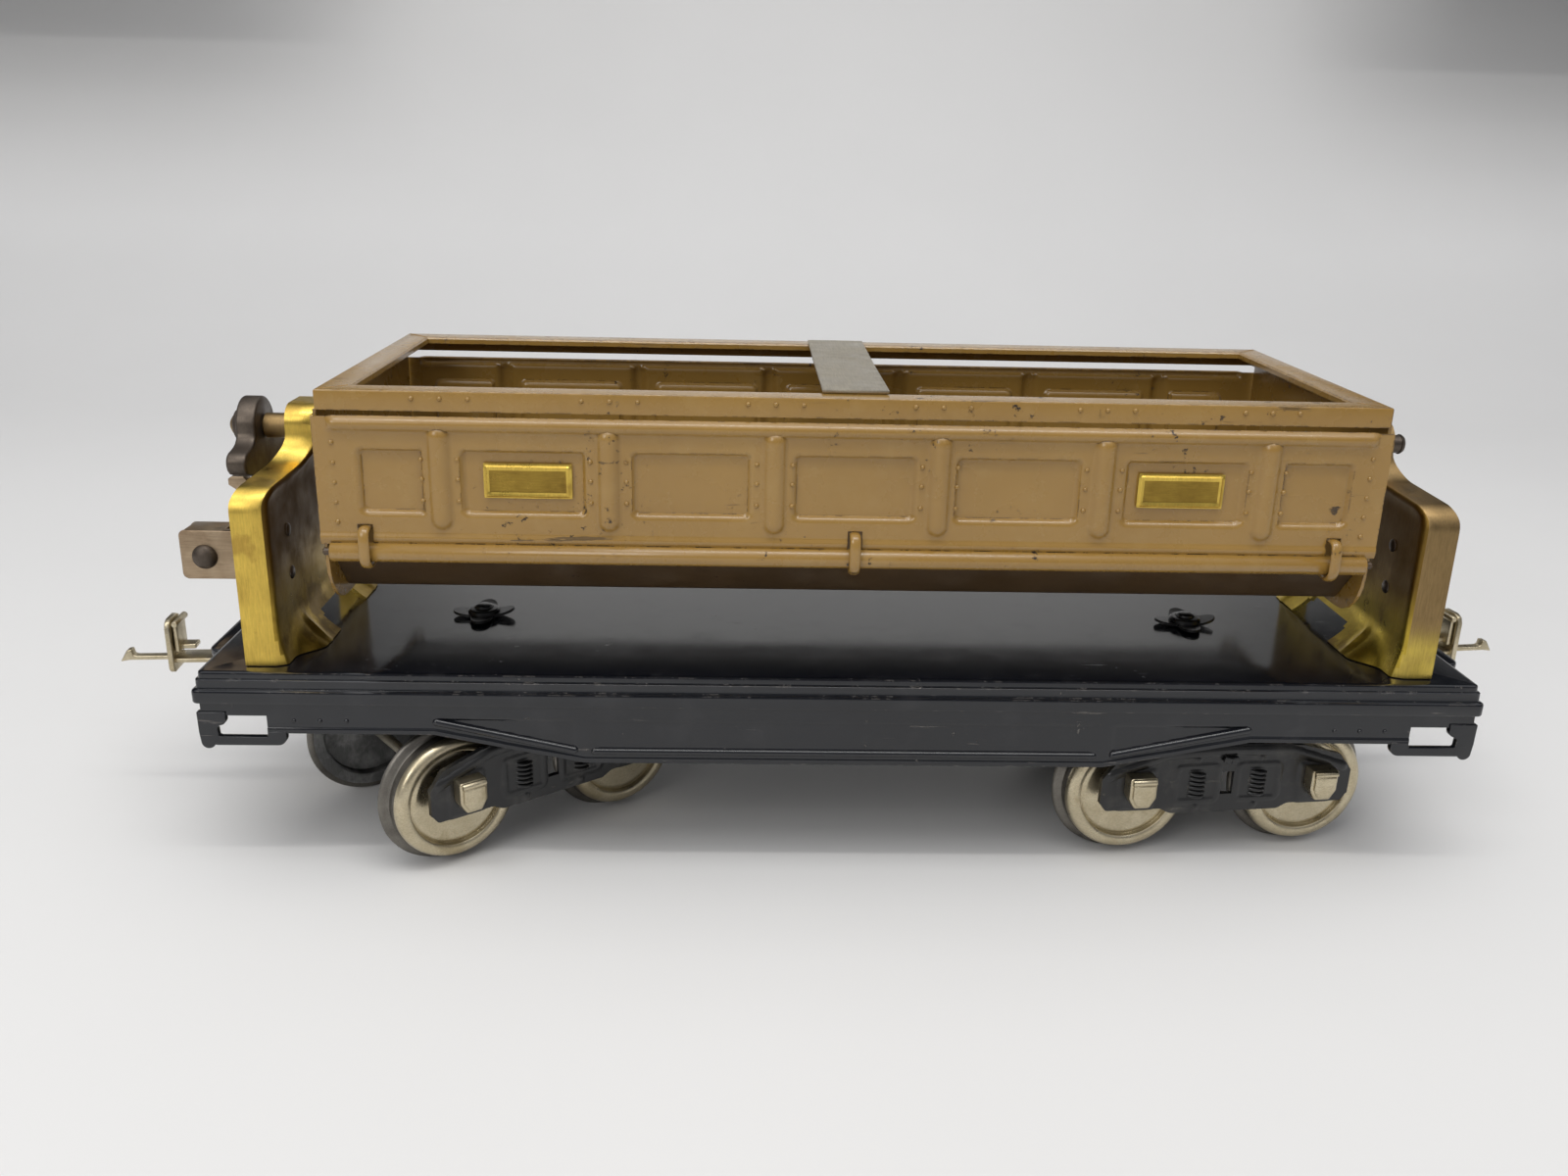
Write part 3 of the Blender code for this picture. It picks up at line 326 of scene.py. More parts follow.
@dataclass(frozen=True)
class BareMetal:
    """Bare or plated metal with tarnish, brushing and scratches, and an optional darkening upwards that is
    partly tarnish and partly painted shade.
    """

    coat: Coat
    color: Color
    tarnish: Color
    spots: Color
    roughness: float
    tarnished: float
    spotted: float
    grain: Point
    grain_size: float = 0.35
    metallic: float = 1.0
    # the heights in mm over which the colour darkens upwards: partly tarnish, partly painted shade under the
    # bin
    climb: Flat = (0.0, 0.0)

    def build(self) -> bpy.types.Material:
        """Builds the material.

        Returns:
            The finished material.
        """
        paint = Painter(self.coat.value, self.metallic, self.roughness)
        cloud = paint.noise(16, detail=6, rough=0.6)
        patches = paint.band(cloud, 0.66 - self.tarnished * 0.3, 0.74 - self.tarnished * 0.18)
        soft = paint.math("MULTIPLY", paint.spread(paint.noise(4.5, detail=5), 0.15, 1.0), self.tarnished)
        covered = paint.math("MAXIMUM", paint.math("MULTIPLY", patches, 0.75), soft, clamp=True)
        # darker upwards: tarnish that rises with height, partly real tarnish and partly painted shade where
        # the bin hangs over the frames
        if self.climb != (0.0, 0.0):
            split = paint.node("ShaderNodeSeparateXYZ")
            paint.feed(split.inputs[0], paint.coords)
            ragged = paint.math("ADD", split.outputs["Z"], paint.math("MULTIPLY", cloud, 0.012))
            risen_tarnish_and_shade = paint.band(ragged, self.climb[0] * MM + 0.006, self.climb[1] * MM + 0.006)
            covered = paint.math("MAXIMUM", covered, paint.math("MULTIPLY", risen_tarnish_and_shade, 0.92), clamp=True)
        body = paint.mix(covered, self.color, self.tarnish)
        crease = paint.band(paint.edges(0.8), 0.04, 0.5)
        body = paint.mix(paint.math("MULTIPLY", crease, 0.25 * self.tarnished), body, self.spots)
        dots = paint.band(paint.noise(1.5, detail=7, rough=0.75), 0.72 - self.spotted * 0.14, 0.77)
        dots = paint.math("MULTIPLY", dots, paint.band(paint.noise(22, detail=3), 0.4, 0.6))
        body = paint.mix(dots, body, self.spots)
        brushed = paint.noise(self.grain_size, detail=3, rough=0.6, stretch=self.grain)
        shine = paint.spread(brushed, 0.86, 1.1)
        tinted = paint.node("ShaderNodeMix", data_type="RGBA", blend_type="MULTIPLY")
        tinted.inputs[0].default_value = 1.0
        paint.feed(tinted.inputs[6], body)
        paint.feed(tinted.inputs[7], shine)
        paint.color(tinted.outputs[2])

        scratch = paint.band(paint.noise(1.0, detail=3, rough=0.5, stretch=(0.06, 0.5, 1.6)), 0.68, 0.73)
        rough = paint.spread(paint.noise(7, detail=6), self.roughness * 0.65, self.roughness * 1.45)
        rough = paint.math("ADD", rough, paint.math("MULTIPLY", covered, 0.16))
        rough = paint.math("ADD", rough, paint.math("MULTIPLY", dots, 0.3))
        paint.rough(paint.math("ADD", rough, paint.math("MULTIPLY", scratch, 0.1), clamp=True))
        paint.metallic(paint.math("SUBTRACT", self.metallic, paint.math("MULTIPLY", dots, 0.6), clamp=True))
        height = paint.math("ADD", paint.math("MULTIPLY", brushed, 0.18), paint.math("MULTIPLY", cloud, 0.6))
        height = paint.math("SUBTRACT", height, paint.math("MULTIPLY", scratch, 0.3))
        height = paint.math("SUBTRACT", height, paint.math("MULTIPLY", dots, 0.3))
        paint.bump(height, 0.09, 0.7)
        return paint.material


@dataclass(frozen=True)
class Paper:
    """The studio's plain pale sweep."""

    coat: Coat
    color: Color
    roughness: float

    def build(self) -> bpy.types.Material:
        """Builds the material.

        Returns:
            The finished material.
        """
        paint = Painter(self.coat.value, 0.0, self.roughness)
        tone = paint.spread(paint.noise(260, detail=3), 0.0, 1.0)
        paint.color(paint.mix(tone, self.color, tuple(c * 0.97 for c in self.color)))
        paint.bump(paint.noise(1.4, detail=4), 0.03, 0.25)
        return paint.material


def all_finishes() -> dict[Coat, bpy.types.Material]:
    """Builds every finish of the car.

    Returns:
        Each finish's material by its name.
    """
    tan_bare = (0.05, 0.036, 0.028)
    finishes = (
        Enamel(Coat.TAN, (0.325, 0.187, 0.042), (0.28, 0.158, 0.034), tan_bare,
               (0.40, 0.27, 0.10), 0.26, 0.4, 1.0, 1.0, 0.2),
        # painted shade: the tan enamel darkened, for surfaces lying in the bin's shade
        Enamel(Coat.TAN_UNDER, (0.075, 0.044, 0.019), (0.05, 0.03, 0.014), tan_bare,
               (0.1, 0.07, 0.04), 0.4, 0.2, 0.5, 0.4, 0.25),
        Enamel(Coat.BLACK, (0.0045, 0.0056, 0.0085), (0.003, 0.0038, 0.006), (0.24, 0.22, 0.2),
               (0.05, 0.05, 0.054), 0.13, 0.25, 0.45, 0.45, 0.16, wave=0.12),
        Enamel(Coat.TRUCK, (0.0085, 0.0085, 0.0088), (0.006, 0.006, 0.0064), (0.16, 0.15, 0.13),
               (0.085, 0.08, 0.07), 0.36, 0.15, 0.4, 0.3, 0.4, wave=0.2),
        BareMetal(Coat.BRASS, (0.70, 0.50, 0.10), (0.42, 0.265, 0.06), (0.11, 0.06, 0.024),
                  0.3, 0.45, 0.7, (1, 1, 0.1)),
        # darker upwards on these three: partly tarnish, partly painted shade under the bin
        BareMetal(Coat.OLD_BRASS, (0.62, 0.47, 0.09), (0.25, 0.165, 0.085), (0.06, 0.035, 0.018),
                  0.3, 0.35, 0.5, (1, 1, 0.1), climb=(56, 70)),
        # painted shade: the webs' faces towards the bin take these darker brasses, partly tarnish and partly
        # the shade under the bin
        BareMetal(Coat.WEB, (0.46, 0.31, 0.05), (0.10, 0.056, 0.016), (0.035, 0.02, 0.01),
                  0.34, 0.5, 0.7, (1, 1, 0.1), climb=(56, 84)),
        BareMetal(Coat.OLD_WEB, (0.60, 0.44, 0.06), (0.15, 0.085, 0.024), (0.05, 0.028, 0.012),
                  0.3, 0.4, 0.6, (1, 1, 0.1), climb=(58, 78)),
        BareMetal(Coat.PLATE, (0.36, 0.24, 0.045), (0.20, 0.12, 0.028), (0.05, 0.03, 0.01),
                  0.3, 0.6, 0.4, (0.1, 1, 1)),
        BareMetal(Coat.STRAP, (0.50, 0.46, 0.38), (0.40, 0.36, 0.28), (0.16, 0.09, 0.045),
                  0.42, 0.5, 0.75, (1, 0.06, 1)),
        BareMetal(Coat.BRACKET, (0.44, 0.34, 0.23), (0.27, 0.185, 0.115), (0.14, 0.07, 0.03),
                  0.38, 0.6, 0.65, (0.08, 1, 1)),
        BareMetal(Coat.IRON, (0.12, 0.098, 0.078), (0.065, 0.05, 0.04), (0.03, 0.02, 0.014),
                  0.36, 0.6, 0.5, (1, 1, 0.3), metallic=0.85),
        BareMetal(Coat.NICKEL, (0.60, 0.53, 0.38), (0.40, 0.33, 0.2), (0.13, 0.09, 0.05),
                  0.26, 0.5, 0.55, (0.5, 1, 1)),
        BareMetal(Coat.TREAD, (0.24, 0.225, 0.20), (0.10, 0.092, 0.08), (0.04, 0.035, 0.03),
                  0.36, 0.65, 0.6, (1, 1, 1)),
        BareMetal(Coat.WHEEL_BACK, (0.50, 0.50, 0.49), (0.10, 0.10, 0.10), (0.016, 0.016, 0.016),
                  0.34, 0.9, 0.7, (1, 1, 0.2)),
        Paper(Coat.PAPER, (0.78, 0.775, 0.765), 0.75),
    )
    return {finish.coat: finish.build() for finish in finishes}


# Shapes


def finished(bm: bmesh.types.BMesh, name: str) -> bpy.types.Mesh:
    """Turns an edit mesh into a mesh, and frees it."""
    mesh = bpy.data.meshes.new(name)
    bm.to_mesh(mesh)
    bm.free()
    return mesh


def evaluated(mesh: bpy.types.Mesh, *modifiers: tuple[str, dict[str, object]]) -> bpy.types.Mesh:
    """The mesh after a stack of modifiers.

    Args:
        mesh: The mesh to start from.
        modifiers: Each modifier's type and settings.

    Returns:
        A new plain mesh.
    """
    holder = bpy.data.objects.new("shaping", mesh)
    bpy.context.scene.collection.objects.link(holder)
    for kind, settings in modifiers:
        modifier = holder.modifiers.new(kind.lower(), kind)
        for key, value in settings.items():
            setattr(modifier, key, value)
    bpy.context.view_layer.update()
    graph = bpy.context.evaluated_depsgraph_get()
    result = bpy.data.meshes.new_from_object(holder.evaluated_get(graph))
    bpy.data.objects.remove(holder, do_unlink=True)
    return result


def softened(mesh: bpy.types.Mesh, width: float, segments: int = 3, angle: float = 30) -> bpy.types.Mesh:
    """Rounds the mesh's sharp edges by this width in millimetres."""
    settings = {
        "width": width,
        "segments": segments,
        "limit_method": "ANGLE",
        "angle_limit": math.radians(angle),
        "harden_normals": False,
    }
    return evaluated(mesh, ("BEVEL", settings))


def cuboid(low: Point, high: Point) -> bpy.types.Mesh:
    """A box between two corners."""
    bm = bmesh.new()
    bmesh.ops.create_cube(bm, size=1.0)
    low_corner, high_corner = Vector(low), Vector(high)
    bmesh.ops.scale(bm, vec=high_corner - low_corner, verts=bm.verts)
    bmesh.ops.translate(bm, vec=(low_corner + high_corner) / 2, verts=bm.verts)
    return finished(bm, "cuboid")


def round_block(low: Point, high: Point, radius: float, segments: int = 3) -> bpy.types.Mesh:
    """A box with rounded edges."""
    return softened(cuboid(low, high), radius, segments)


def turned(profile: Sequence[Flat], segments: int, tags: Sequence[int] = ()) -> bpy.types.Mesh:
    """A solid turned about Z.

    Args:
        profile: Points as (radius, height), down the outer side. A radius of 0 closes an end.
        segments: How many steps make the full turn.
        tags: A material index for each stretch between two points.

    Returns:
        The turned mesh.
    """
    bm = bmesh.new()
    rings: list[list[bmesh.types.BMVert]] = []
    for radius, height in profile:
        if radius < 1e-6:
            rings.append([bm.verts.new((0, 0, height))])
            continue
        ring = []
        for step in range(segments):
            angle = 2 * math.pi * step / segments
            ring.append(bm.verts.new((radius * math.cos(angle), radius * math.sin(angle), height)))
        rings.append(ring)
    pairs = list(zip(rings, rings[1:]))
    if len(rings[0]) > 1 and len(rings[-1]) > 1:
        pairs.append((rings[-1], rings[0]))
    for index, (upper, lower) in enumerate(pairs):
        for step in range(segments):
            after = (step + 1) % segments
            if len(upper) == 1:
                corners = (upper[0], lower[step], lower[after])
            elif len(lower) == 1:
                corners = (upper[step], lower[0], upper[after])
            else:
                corners = (upper[step], lower[step], lower[after], upper[after])
            face = bm.faces.new(corners)
            if index < len(tags):
                face.material_index = tags[index]
    bmesh.ops.recalc_face_normals(bm, faces=bm.faces)
    return finished(bm, "turned")


def prism(outline: Sequence[Flat], low: float, high: float, plane: str = "XY") -> bpy.types.Mesh:
    """A plate with this outline.

    Args:
        outline: The outline's points in the plane's two axes.
        low: Where the plate starts along the third axis.
        high: Where it ends.
        plane: XY, XZ or YZ.

    Returns:
        The closed plate.
    """
    bm = bmesh.new()
    order: dict[str, Callable[[float, float, float], Point]] = {
        "XY": lambda u, v, w: (u, v, w),
        "XZ": lambda u, v, w: (u, w, v),
        "YZ": lambda u, v, w: (w, u, v),
    }
    place = order[plane]
    bottom = [bm.verts.new(place(u, v, low)) for u, v in outline]
    top = [bm.verts.new(place(u, v, high)) for u, v in outline]
    bm.faces.new(bottom)
    bm.faces.new(top)
    for index in range(len(outline)):
        after = (index + 1) % len(outline)
        bm.faces.new((bottom[index], bottom[after], top[after], top[index]))
    bmesh.ops.recalc_face_normals(bm, faces=bm.faces)
    return finished(bm, "prism")


def arc(center: Flat, radius: float, start: float, end: float, steps: int) -> list[Flat]:
    """Points along an arc, its angles in degrees."""
    angles = [math.radians(start + (end - start) * step / steps) for step in range(steps + 1)]
    return [(center[0] + radius * math.cos(a), center[1] + radius * math.sin(a)) for a in angles]


def lines(start: float, stop: float, step: float, *kept: float) -> list[float]:
    """Evenly spaced values from start to stop, with the kept ones put in among them."""
    count = max(1, round((stop - start) / step))
    even = [start + (stop - start) * index / count for index in range(count + 1)]
    even = [v for v in even if all(abs(v - k) > step * 0.3 for k in kept)]
    return sorted({*even, start, stop, *(k for k in kept if start <= k <= stop)})


def pressed_sheet(
    us: Sequence[float],
    vs: Sequence[float],
    place: Callable[[float, float], Point],
    thickness: float,
    keep: Callable[[float, float], bool] | None = None,
) -> bpy.types.Mesh:
    """A sheet of metal pressed into shape.

    Args:
        us: The sheet's lines in one direction.
        vs: Its lines in the other.
        place: Where each crossing of the lines goes.
        thickness: The metal's thickness.
        keep: Says for the middle of each square whether the sheet is there.

    Returns:
        The closed sheet.
    """
    bm = bmesh.new()
    grid = [[bm.verts.new(place(u, v)) for v in vs] for u in us]
    for i in range(len(us) - 1):
        for j in range(len(vs) - 1):
            if keep and not keep((us[i] + us[i + 1]) / 2, (vs[j] + vs[j + 1]) / 2):
                continue
            bm.faces.new((grid[i][j], grid[i + 1][j], grid[i + 1][j + 1], grid[i][j + 1]))
    loose = [vert for vert in bm.verts if not vert.link_faces]
    bmesh.ops.delete(bm, geom=loose, context="VERTS")
    sheet = finished(bm, "sheet")
    settings = {"thickness": thickness, "offset": 0.0, "use_even_offset": True}
    return outward(evaluated(sheet, ("SOLIDIFY", settings)))


def outward(mesh: bpy.types.Mesh) -> bpy.types.Mesh:
    """The same mesh with its faces turned outwards."""
    bm = bmesh.new()
    bm.from_mesh(mesh)
    bmesh.ops.recalc_face_normals(bm, faces=bm.faces)
    bm.to_mesh(mesh)
    bm.free()
    return mesh


def joined(*meshes: bpy.types.Mesh) -> bpy.types.Mesh:
    """Several meshes as one. Their material indices are kept."""
    bm = bmesh.new()
    for mesh in meshes:
        bm.from_mesh(mesh)
    return finished(bm, "joined")


def placed(mesh: bpy.types.Mesh, matrix: Matrix) -> bpy.types.Mesh:
    """A copy of the mesh, moved by the matrix."""
    copy = mesh.copy()
    copy.transform(matrix)
    return copy


def shift(x: float = 0.0, y: float = 0.0, z: float = 0.0) -> Matrix:
    """A move."""
    return Matrix.Translation((x, y, z))


def spin(degrees: float, axis: str = "Z") -> Matrix:
    """A turn about an axis."""
    return Matrix.Rotation(math.radians(degrees), 4, axis)


def tube_along(points: Sequence[Point], radius: float, flat: float = 1.0) -> bpy.types.Mesh:
    """A round bar along a path.

    Args:
        points: The path.
        radius: The bar's radius.
        flat: How far the bar is widened along X.

    Returns:
        The bar, with rounded section and flat ends.
    """
    curve = bpy.data.curves.new("path", "CURVE")
    curve.dimensions = "3D"
    curve.bevel_depth = radius
    curve.bevel_resolution = 6
    curve.use_fill_caps = True
    spline = curve.splines.new("POLY")
    spline.points.add(len(points) - 1)
    for target, point in zip(spline.points, points):
        target.co = (*point, 1)
    holder = bpy.data.objects.new("path", curve)
    bpy.context.scene.collection.objects.link(holder)
    bpy.context.view_layer.update()
    graph = bpy.context.evaluated_depsgraph_get()
    mesh = bpy.data.meshes.new_from_object(holder.evaluated_get(graph))
    bpy.data.objects.remove(holder, do_unlink=True)
    if flat != 1.0:
        middle = sum(point[0] for point in points) / len(points)
        mesh.transform(shift(x=middle) @ Matrix.Diagonal((flat, 1, 1, 1)) @ shift(x=-middle))
    bm = bmesh.new()
    bm.from_mesh(mesh)
    bmesh.ops.remove_doubles(bm, verts=bm.verts, dist=0.0005)
    return finished(bm, "bar")


def smoothstep(low: float, high: float, value: float) -> float:
    """0 below low, 1 above high and a smooth rise between."""
    share = min(max((value - low) / (high - low), 0.0), 1.0)
    return share * share * (3 - 2 * share)


def to_segment(x: float, z: float, start: Flat, end: Flat) -> float:
    """The distance from (x, z) to a straight segment."""
    ax, az = start
    bx, bz = end
    dx, dz = bx - ax, bz - az
    length = dx * dx + dz * dz
    share = 0.0 if length == 0 else min(max(((x - ax) * dx + (z - az) * dz) / length, 0.0), 1.0)
    return math.hypot(x - ax - share * dx, z - az - share * dz)


def half_round(distance: float, half_width: float, height: float) -> float:
    """The height of a half-round bead at this distance from its middle line."""
    if distance >= half_width * 1.35:
        return 0.0
    dome = math.sqrt(max(0.0, 1 - (distance / half_width) ** 2))
    foot = 0.18 * (1 - smoothstep(half_width * 0.8, half_width * 1.35, distance))
    return height * max(dome, foot)


def in_round_rectangle(x: float, z: float, low: Flat, high: Flat, corner: float) -> float:
    """The signed distance to a rectangle with round corners: negative inside it."""
    half_x, half_z = (high[0] - low[0]) / 2, (high[1] - low[1]) / 2
    dx = abs(x - (low[0] + high[0]) / 2) - half_x + corner
    dz = abs(z - (low[1] + high[1]) / 2) - half_z + corner
    return math.hypot(max(dx, 0), max(dz, 0)) + min(max(dx, dz), 0) - corner


# Geometry Nodes for what repeats


class NodeTool:
    """A Geometry Nodes tree with named inputs, used as a modifier and then applied."""

    def __init__(self, name: str, sizes: Iterable[str]) -> None:
        """Starts a tree.

        Args:
            name: The tree's name.
            sizes: The names of its number inputs.
        """
        self.tree = bpy.data.node_groups.new(name, "GeometryNodeTree")
        interface = self.tree.interface
        sockets = {"Geometry": "NodeSocketGeometry"}
        sockets.update({size: "NodeSocketFloat" for size in sizes})
        sockets["Facing"] = "NodeSocketVector"
        sockets["Finish"] = "NodeSocketMaterial"
        self.identifiers: dict[str, str] = {}
        for label, kind in sockets.items():
            made = interface.new_socket(label, in_out="INPUT", socket_type=kind)
            self.identifiers[label] = made.identifier
        interface.new_socket("Geometry", in_out="OUTPUT", socket_type="NodeSocketGeometry")
        self.source = self.node("NodeGroupInput")
        self.target = self.node("NodeGroupOutput")

    def node(self, kind: str, **settings: object) -> bpy.types.Node:
        """Adds a node with these settings."""
        made = self.tree.nodes.new(kind)
        for key, value in settings.items():
            setattr(made, key, value)
        return made

    def link(self, source: bpy.types.NodeSocket, target: bpy.types.NodeSocket) -> None:
        """Links two sockets."""
        self.tree.links.new(source, target)

    def end_with(self, geometry: bpy.types.NodeSocket) -> None:
        """Ends the tree: smooth faces, real geometry and the finish."""
        realize = self.node("GeometryNodeRealizeInstances")
        smooth = self.node("GeometryNodeSetShadeSmooth")
        finish = self.node("GeometryNodeSetMaterial")
        self.link(geometry, realize.inputs["Geometry"])
        self.link(realize.outputs["Geometry"], smooth.inputs["Geometry"])
        self.link(smooth.outputs["Geometry"], finish.inputs["Geometry"])
        self.link(self.source.outputs["Finish"], finish.inputs["Material"])
        self.link(finish.outputs["Geometry"], self.target.inputs[0])

    def grow(self, base: bpy.types.Mesh, **values: object) -> bpy.types.Mesh:
        """Runs the tree on a mesh.

        Args:
            base: The points or edges that the tree works on.
            values: The tree's inputs by name.

        Returns:
            The result as a plain mesh.
        """
        holder = bpy.data.objects.new("growing", base)
        bpy.context.scene.collection.objects.link(holder)
        modifier = holder.modifiers.new("tool", "NODES")
        modifier.node_group = self.tree
        for label, value in values.items():
            modifier[self.identifiers[label]] = value
        bpy.context.view_layer.update()
        graph = bpy.context.evaluated_depsgraph_get()
        result = bpy.data.meshes.new_from_object(holder.evaluated_get(graph))
        holder.modifiers.remove(modifier)
        bpy.data.objects.remove(holder, do_unlink=True)
        return result


class RivetTool(NodeTool):
    """Puts a domed rivet head on every point, facing one way, each a little different in size."""

    def __init__(self) -> None:
        """Builds the tree."""
        super().__init__("rivet_heads", ("Radius", "Height"))
        dome = self.node("GeometryNodeMeshUVSphere")
        dome.inputs["Segments"].default_value = 16
        dome.inputs["Rings"].default_value = 10
        dome.inputs["Radius"].default_value = 1.0
        size = self.node("ShaderNodeCombineXYZ")
        self.link(self.source.outputs["Radius"], size.inputs["X"])
        self.link(self.source.outputs["Radius"], size.inputs["Y"])
        self.link(self.source.outputs["Height"], size.inputs["Z"])
        vary = self.node("FunctionNodeRandomValue", data_type="FLOAT")
        for socket in vary.inputs:
            if socket.type == "VALUE" and socket.name == "Min":
                socket.default_value = 0.92
            if socket.type == "VALUE" and socket.name == "Max":
                socket.default_value = 1.06
            if socket.name == "Seed":
                socket.default_value = 7
        varied = self.node("ShaderNodeVectorMath", operation="SCALE")
        self.link(size.outputs[0], varied.inputs[0])
        amount = next(s for s in vary.outputs if s.type == "VALUE" and s.enabled)
        self.link(amount, varied.inputs["Scale"])
        facing = self.node("FunctionNodeAlignRotationToVector", axis="Z")
        self.link(self.source.outputs["Facing"], facing.inputs["Vector"])
        stamp = self.node("GeometryNodeInstanceOnPoints")
        self.link(self.source.outputs["Geometry"], stamp.inputs["Points"])
        self.link(dome.outputs["Mesh"], stamp.inputs["Instance"])
        self.link(facing.outputs[0], stamp.inputs["Rotation"])
        self.link(varied.outputs[0], stamp.inputs["Scale"])
        self.end_with(stamp.outputs["Instances"])

    def heads(
        self, points: Iterable[Point], facing: Point, radius: float, height: float, finish: bpy.types.Material
    ) -> bpy.types.Mesh:
        """Rivet heads on these points.

        Args:
            points: Where the rivets are.
            facing: Which way their heads point.
            radius: The head's radius.
            height: The head's height.
            finish: Their material.

        Returns:
            One mesh with every head.
        """
        base = bpy.data.meshes.new("rivet_points")
        base.from_pydata(list(points), [], [])
        return self.grow(base, Radius=radius, Height=height, Facing=facing, Finish=finish)


class BeadTool(NodeTool):
    """Runs a round bead along every edge of a path."""

    def __init__(self) -> None:
        """Builds the tree."""
        super().__init__("beads", ("Radius",))
        path = self.node("GeometryNodeMeshToCurve")
        circle = self.node("GeometryNodeCurvePrimitiveCircle")
        circle.inputs["Resolution"].default_value = 14
        sweep = self.node("GeometryNodeCurveToMesh")
        sweep.inputs["Fill Caps"].default_value = True
        self.link(self.source.outputs["Geometry"], path.inputs["Mesh"])
        self.link(self.source.outputs["Radius"], circle.inputs["Radius"])
        self.link(path.outputs["Curve"], sweep.inputs["Curve"])
        self.link(circle.outputs["Curve"], sweep.inputs["Profile Curve"])
        self.end_with(sweep.outputs["Mesh"])

    def along(
        self, paths: Iterable[Sequence[Point]], radius: float, finish: bpy.types.Material
    ) -> bpy.types.Mesh:
        """Beads along these paths.

        Args:
            paths: The paths, each a list of points.
            radius: The bead's radius.
            finish: Their material.

        Returns:
            One mesh with every bead.
        """
        points: list[Point] = []
        edges: list[tuple[int, int]] = []
        for path in paths:
            start = len(points)
            points.extend(path)
            edges.extend((start + i, start + i + 1) for i in range(len(path) - 1))
        base = bpy.data.meshes.new("bead_paths")
        base.from_pydata(points, edges, [])
        return self.grow(base, Radius=radius, Finish=finish)


class CoilTool(NodeTool):
    """Stands a coil spring on every point."""

    def __init__(self) -> None:
        """Builds the tree."""
        super().__init__("coil_springs", ("Coil_Radius", "Wire_Radius", "Height", "Turns"))
        spiral = self.node("GeometryNodeCurveSpiral")
        spiral.inputs["Resolution"].default_value = 20
        self.link(self.source.outputs["Coil_Radius"], spiral.inputs["Start Radius"])
        self.link(self.source.outputs["Coil_Radius"], spiral.inputs["End Radius"])
        self.link(self.source.outputs["Height"], spiral.inputs["Height"])
        self.link(self.source.outputs["Turns"], spiral.inputs["Rotations"])
        circle = self.node("GeometryNodeCurvePrimitiveCircle")
        circle.inputs["Resolution"].default_value = 10
        self.link(self.source.outputs["Wire_Radius"], circle.inputs["Radius"])
        sweep = self.node("GeometryNodeCurveToMesh")
        sweep.inputs["Fill Caps"].default_value = True
        self.link(spiral.outputs["Curve"], sweep.inputs["Curve"])
        self.link(circle.outputs["Curve"], sweep.inputs["Profile Curve"])
        stamp = self.node("GeometryNodeInstanceOnPoints")
        self.link(self.source.outputs["Geometry"], stamp.inputs["Points"])
        self.link(sweep.outputs["Mesh"], stamp.inputs["Instance"])
        self.end_with(stamp.outputs["Instances"])

    def springs(
        self, points: Iterable[Point], coil: float, wire: float, height: float, turns: float,
        finish: bpy.types.Material,
    ) -> bpy.types.Mesh:
        """Springs standing on these points.

        Args:
            points: The middle of each spring's foot.
            coil: The coil's radius.
            wire: The wire's radius.
            height: The spring's height.
            turns: How many turns it has.
            finish: Their material.

        Returns:
            One mesh with every spring.
        """
        base = bpy.data.meshes.new("spring_points")
        base.from_pydata(list(points), [], [])
        return self.grow(
            base, Coil_Radius=coil, Wire_Radius=wire, Height=height, Turns=turns, Finish=finish
        )


# The car


@dataclass
class Workshop:
    """What every sub-assembly needs: the finishes, the tools and a way to hand over a piece."""

    finishes: dict[Coat, bpy.types.Material]
    rivets: RivetTool = field(default_factory=RivetTool)
    beads: BeadTool = field(default_factory=BeadTool)
    coils: CoilTool = field(default_factory=CoilTool)

    def dressed(self, mesh: bpy.types.Mesh, *coats: Coat) -> bpy.types.Mesh:
        """The mesh with these finishes in its slots, its faces keeping their slots' numbers."""
        numbers = [face.material_index for face in mesh.polygons]
        mesh.materials.clear()
        for coat in coats:
            mesh.materials.append(self.finishes[coat])
        if len(coats) > 1:
            mesh.polygons.foreach_set("material_index", numbers)
        return mesh

    def hand_over(
        self,
        name: str,
        mesh: bpy.types.Mesh,
        body: str,
        slot: Slot,
        replaces: Sequence[str] = (),
        angle: float = 35,
    ) -> bpy.types.Object:
        """Gives a finished piece to the frame.

        Args:
            name: The piece's name.
            mesh: Its mesh in millimetres, dressed.
            body: The body that it moves with.
            slot: The record's slot that its finish stands for; not used.
            replaces: The frame's nodes that it stands for.
            angle: Edges sharper than this, in degrees, stay sharp.

        Returns:
            The piece's object.
        """
        mesh.transform(Matrix.Scale(MM, 4))
        mesh.shade_smooth()
        mesh.set_sharp_from_angle(angle=math.radians(angle))
        mesh.name = name
        piece = bpy.data.objects.new(name, mesh)
        bpy.context.scene.collection.objects.link(piece)
        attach(piece, body)
        if replaces:
            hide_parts(*replaces)
        LOG.info("%s: %d faces, with %s", name, len(mesh.polygons), body)
        return piece

    def repaint(self, node: str, coat: Coat) -> None:
        """Gives one of the frame's own nodes a finish."""
        target = frame["nodes"][node]
        if not target.material_slots:
            target.data.materials.append(self.finishes[coat])
        for holder in target.material_slots:
            holder.material = self.finishes[coat]
        LOG.info("%s: repainted %s", node, coat.value)


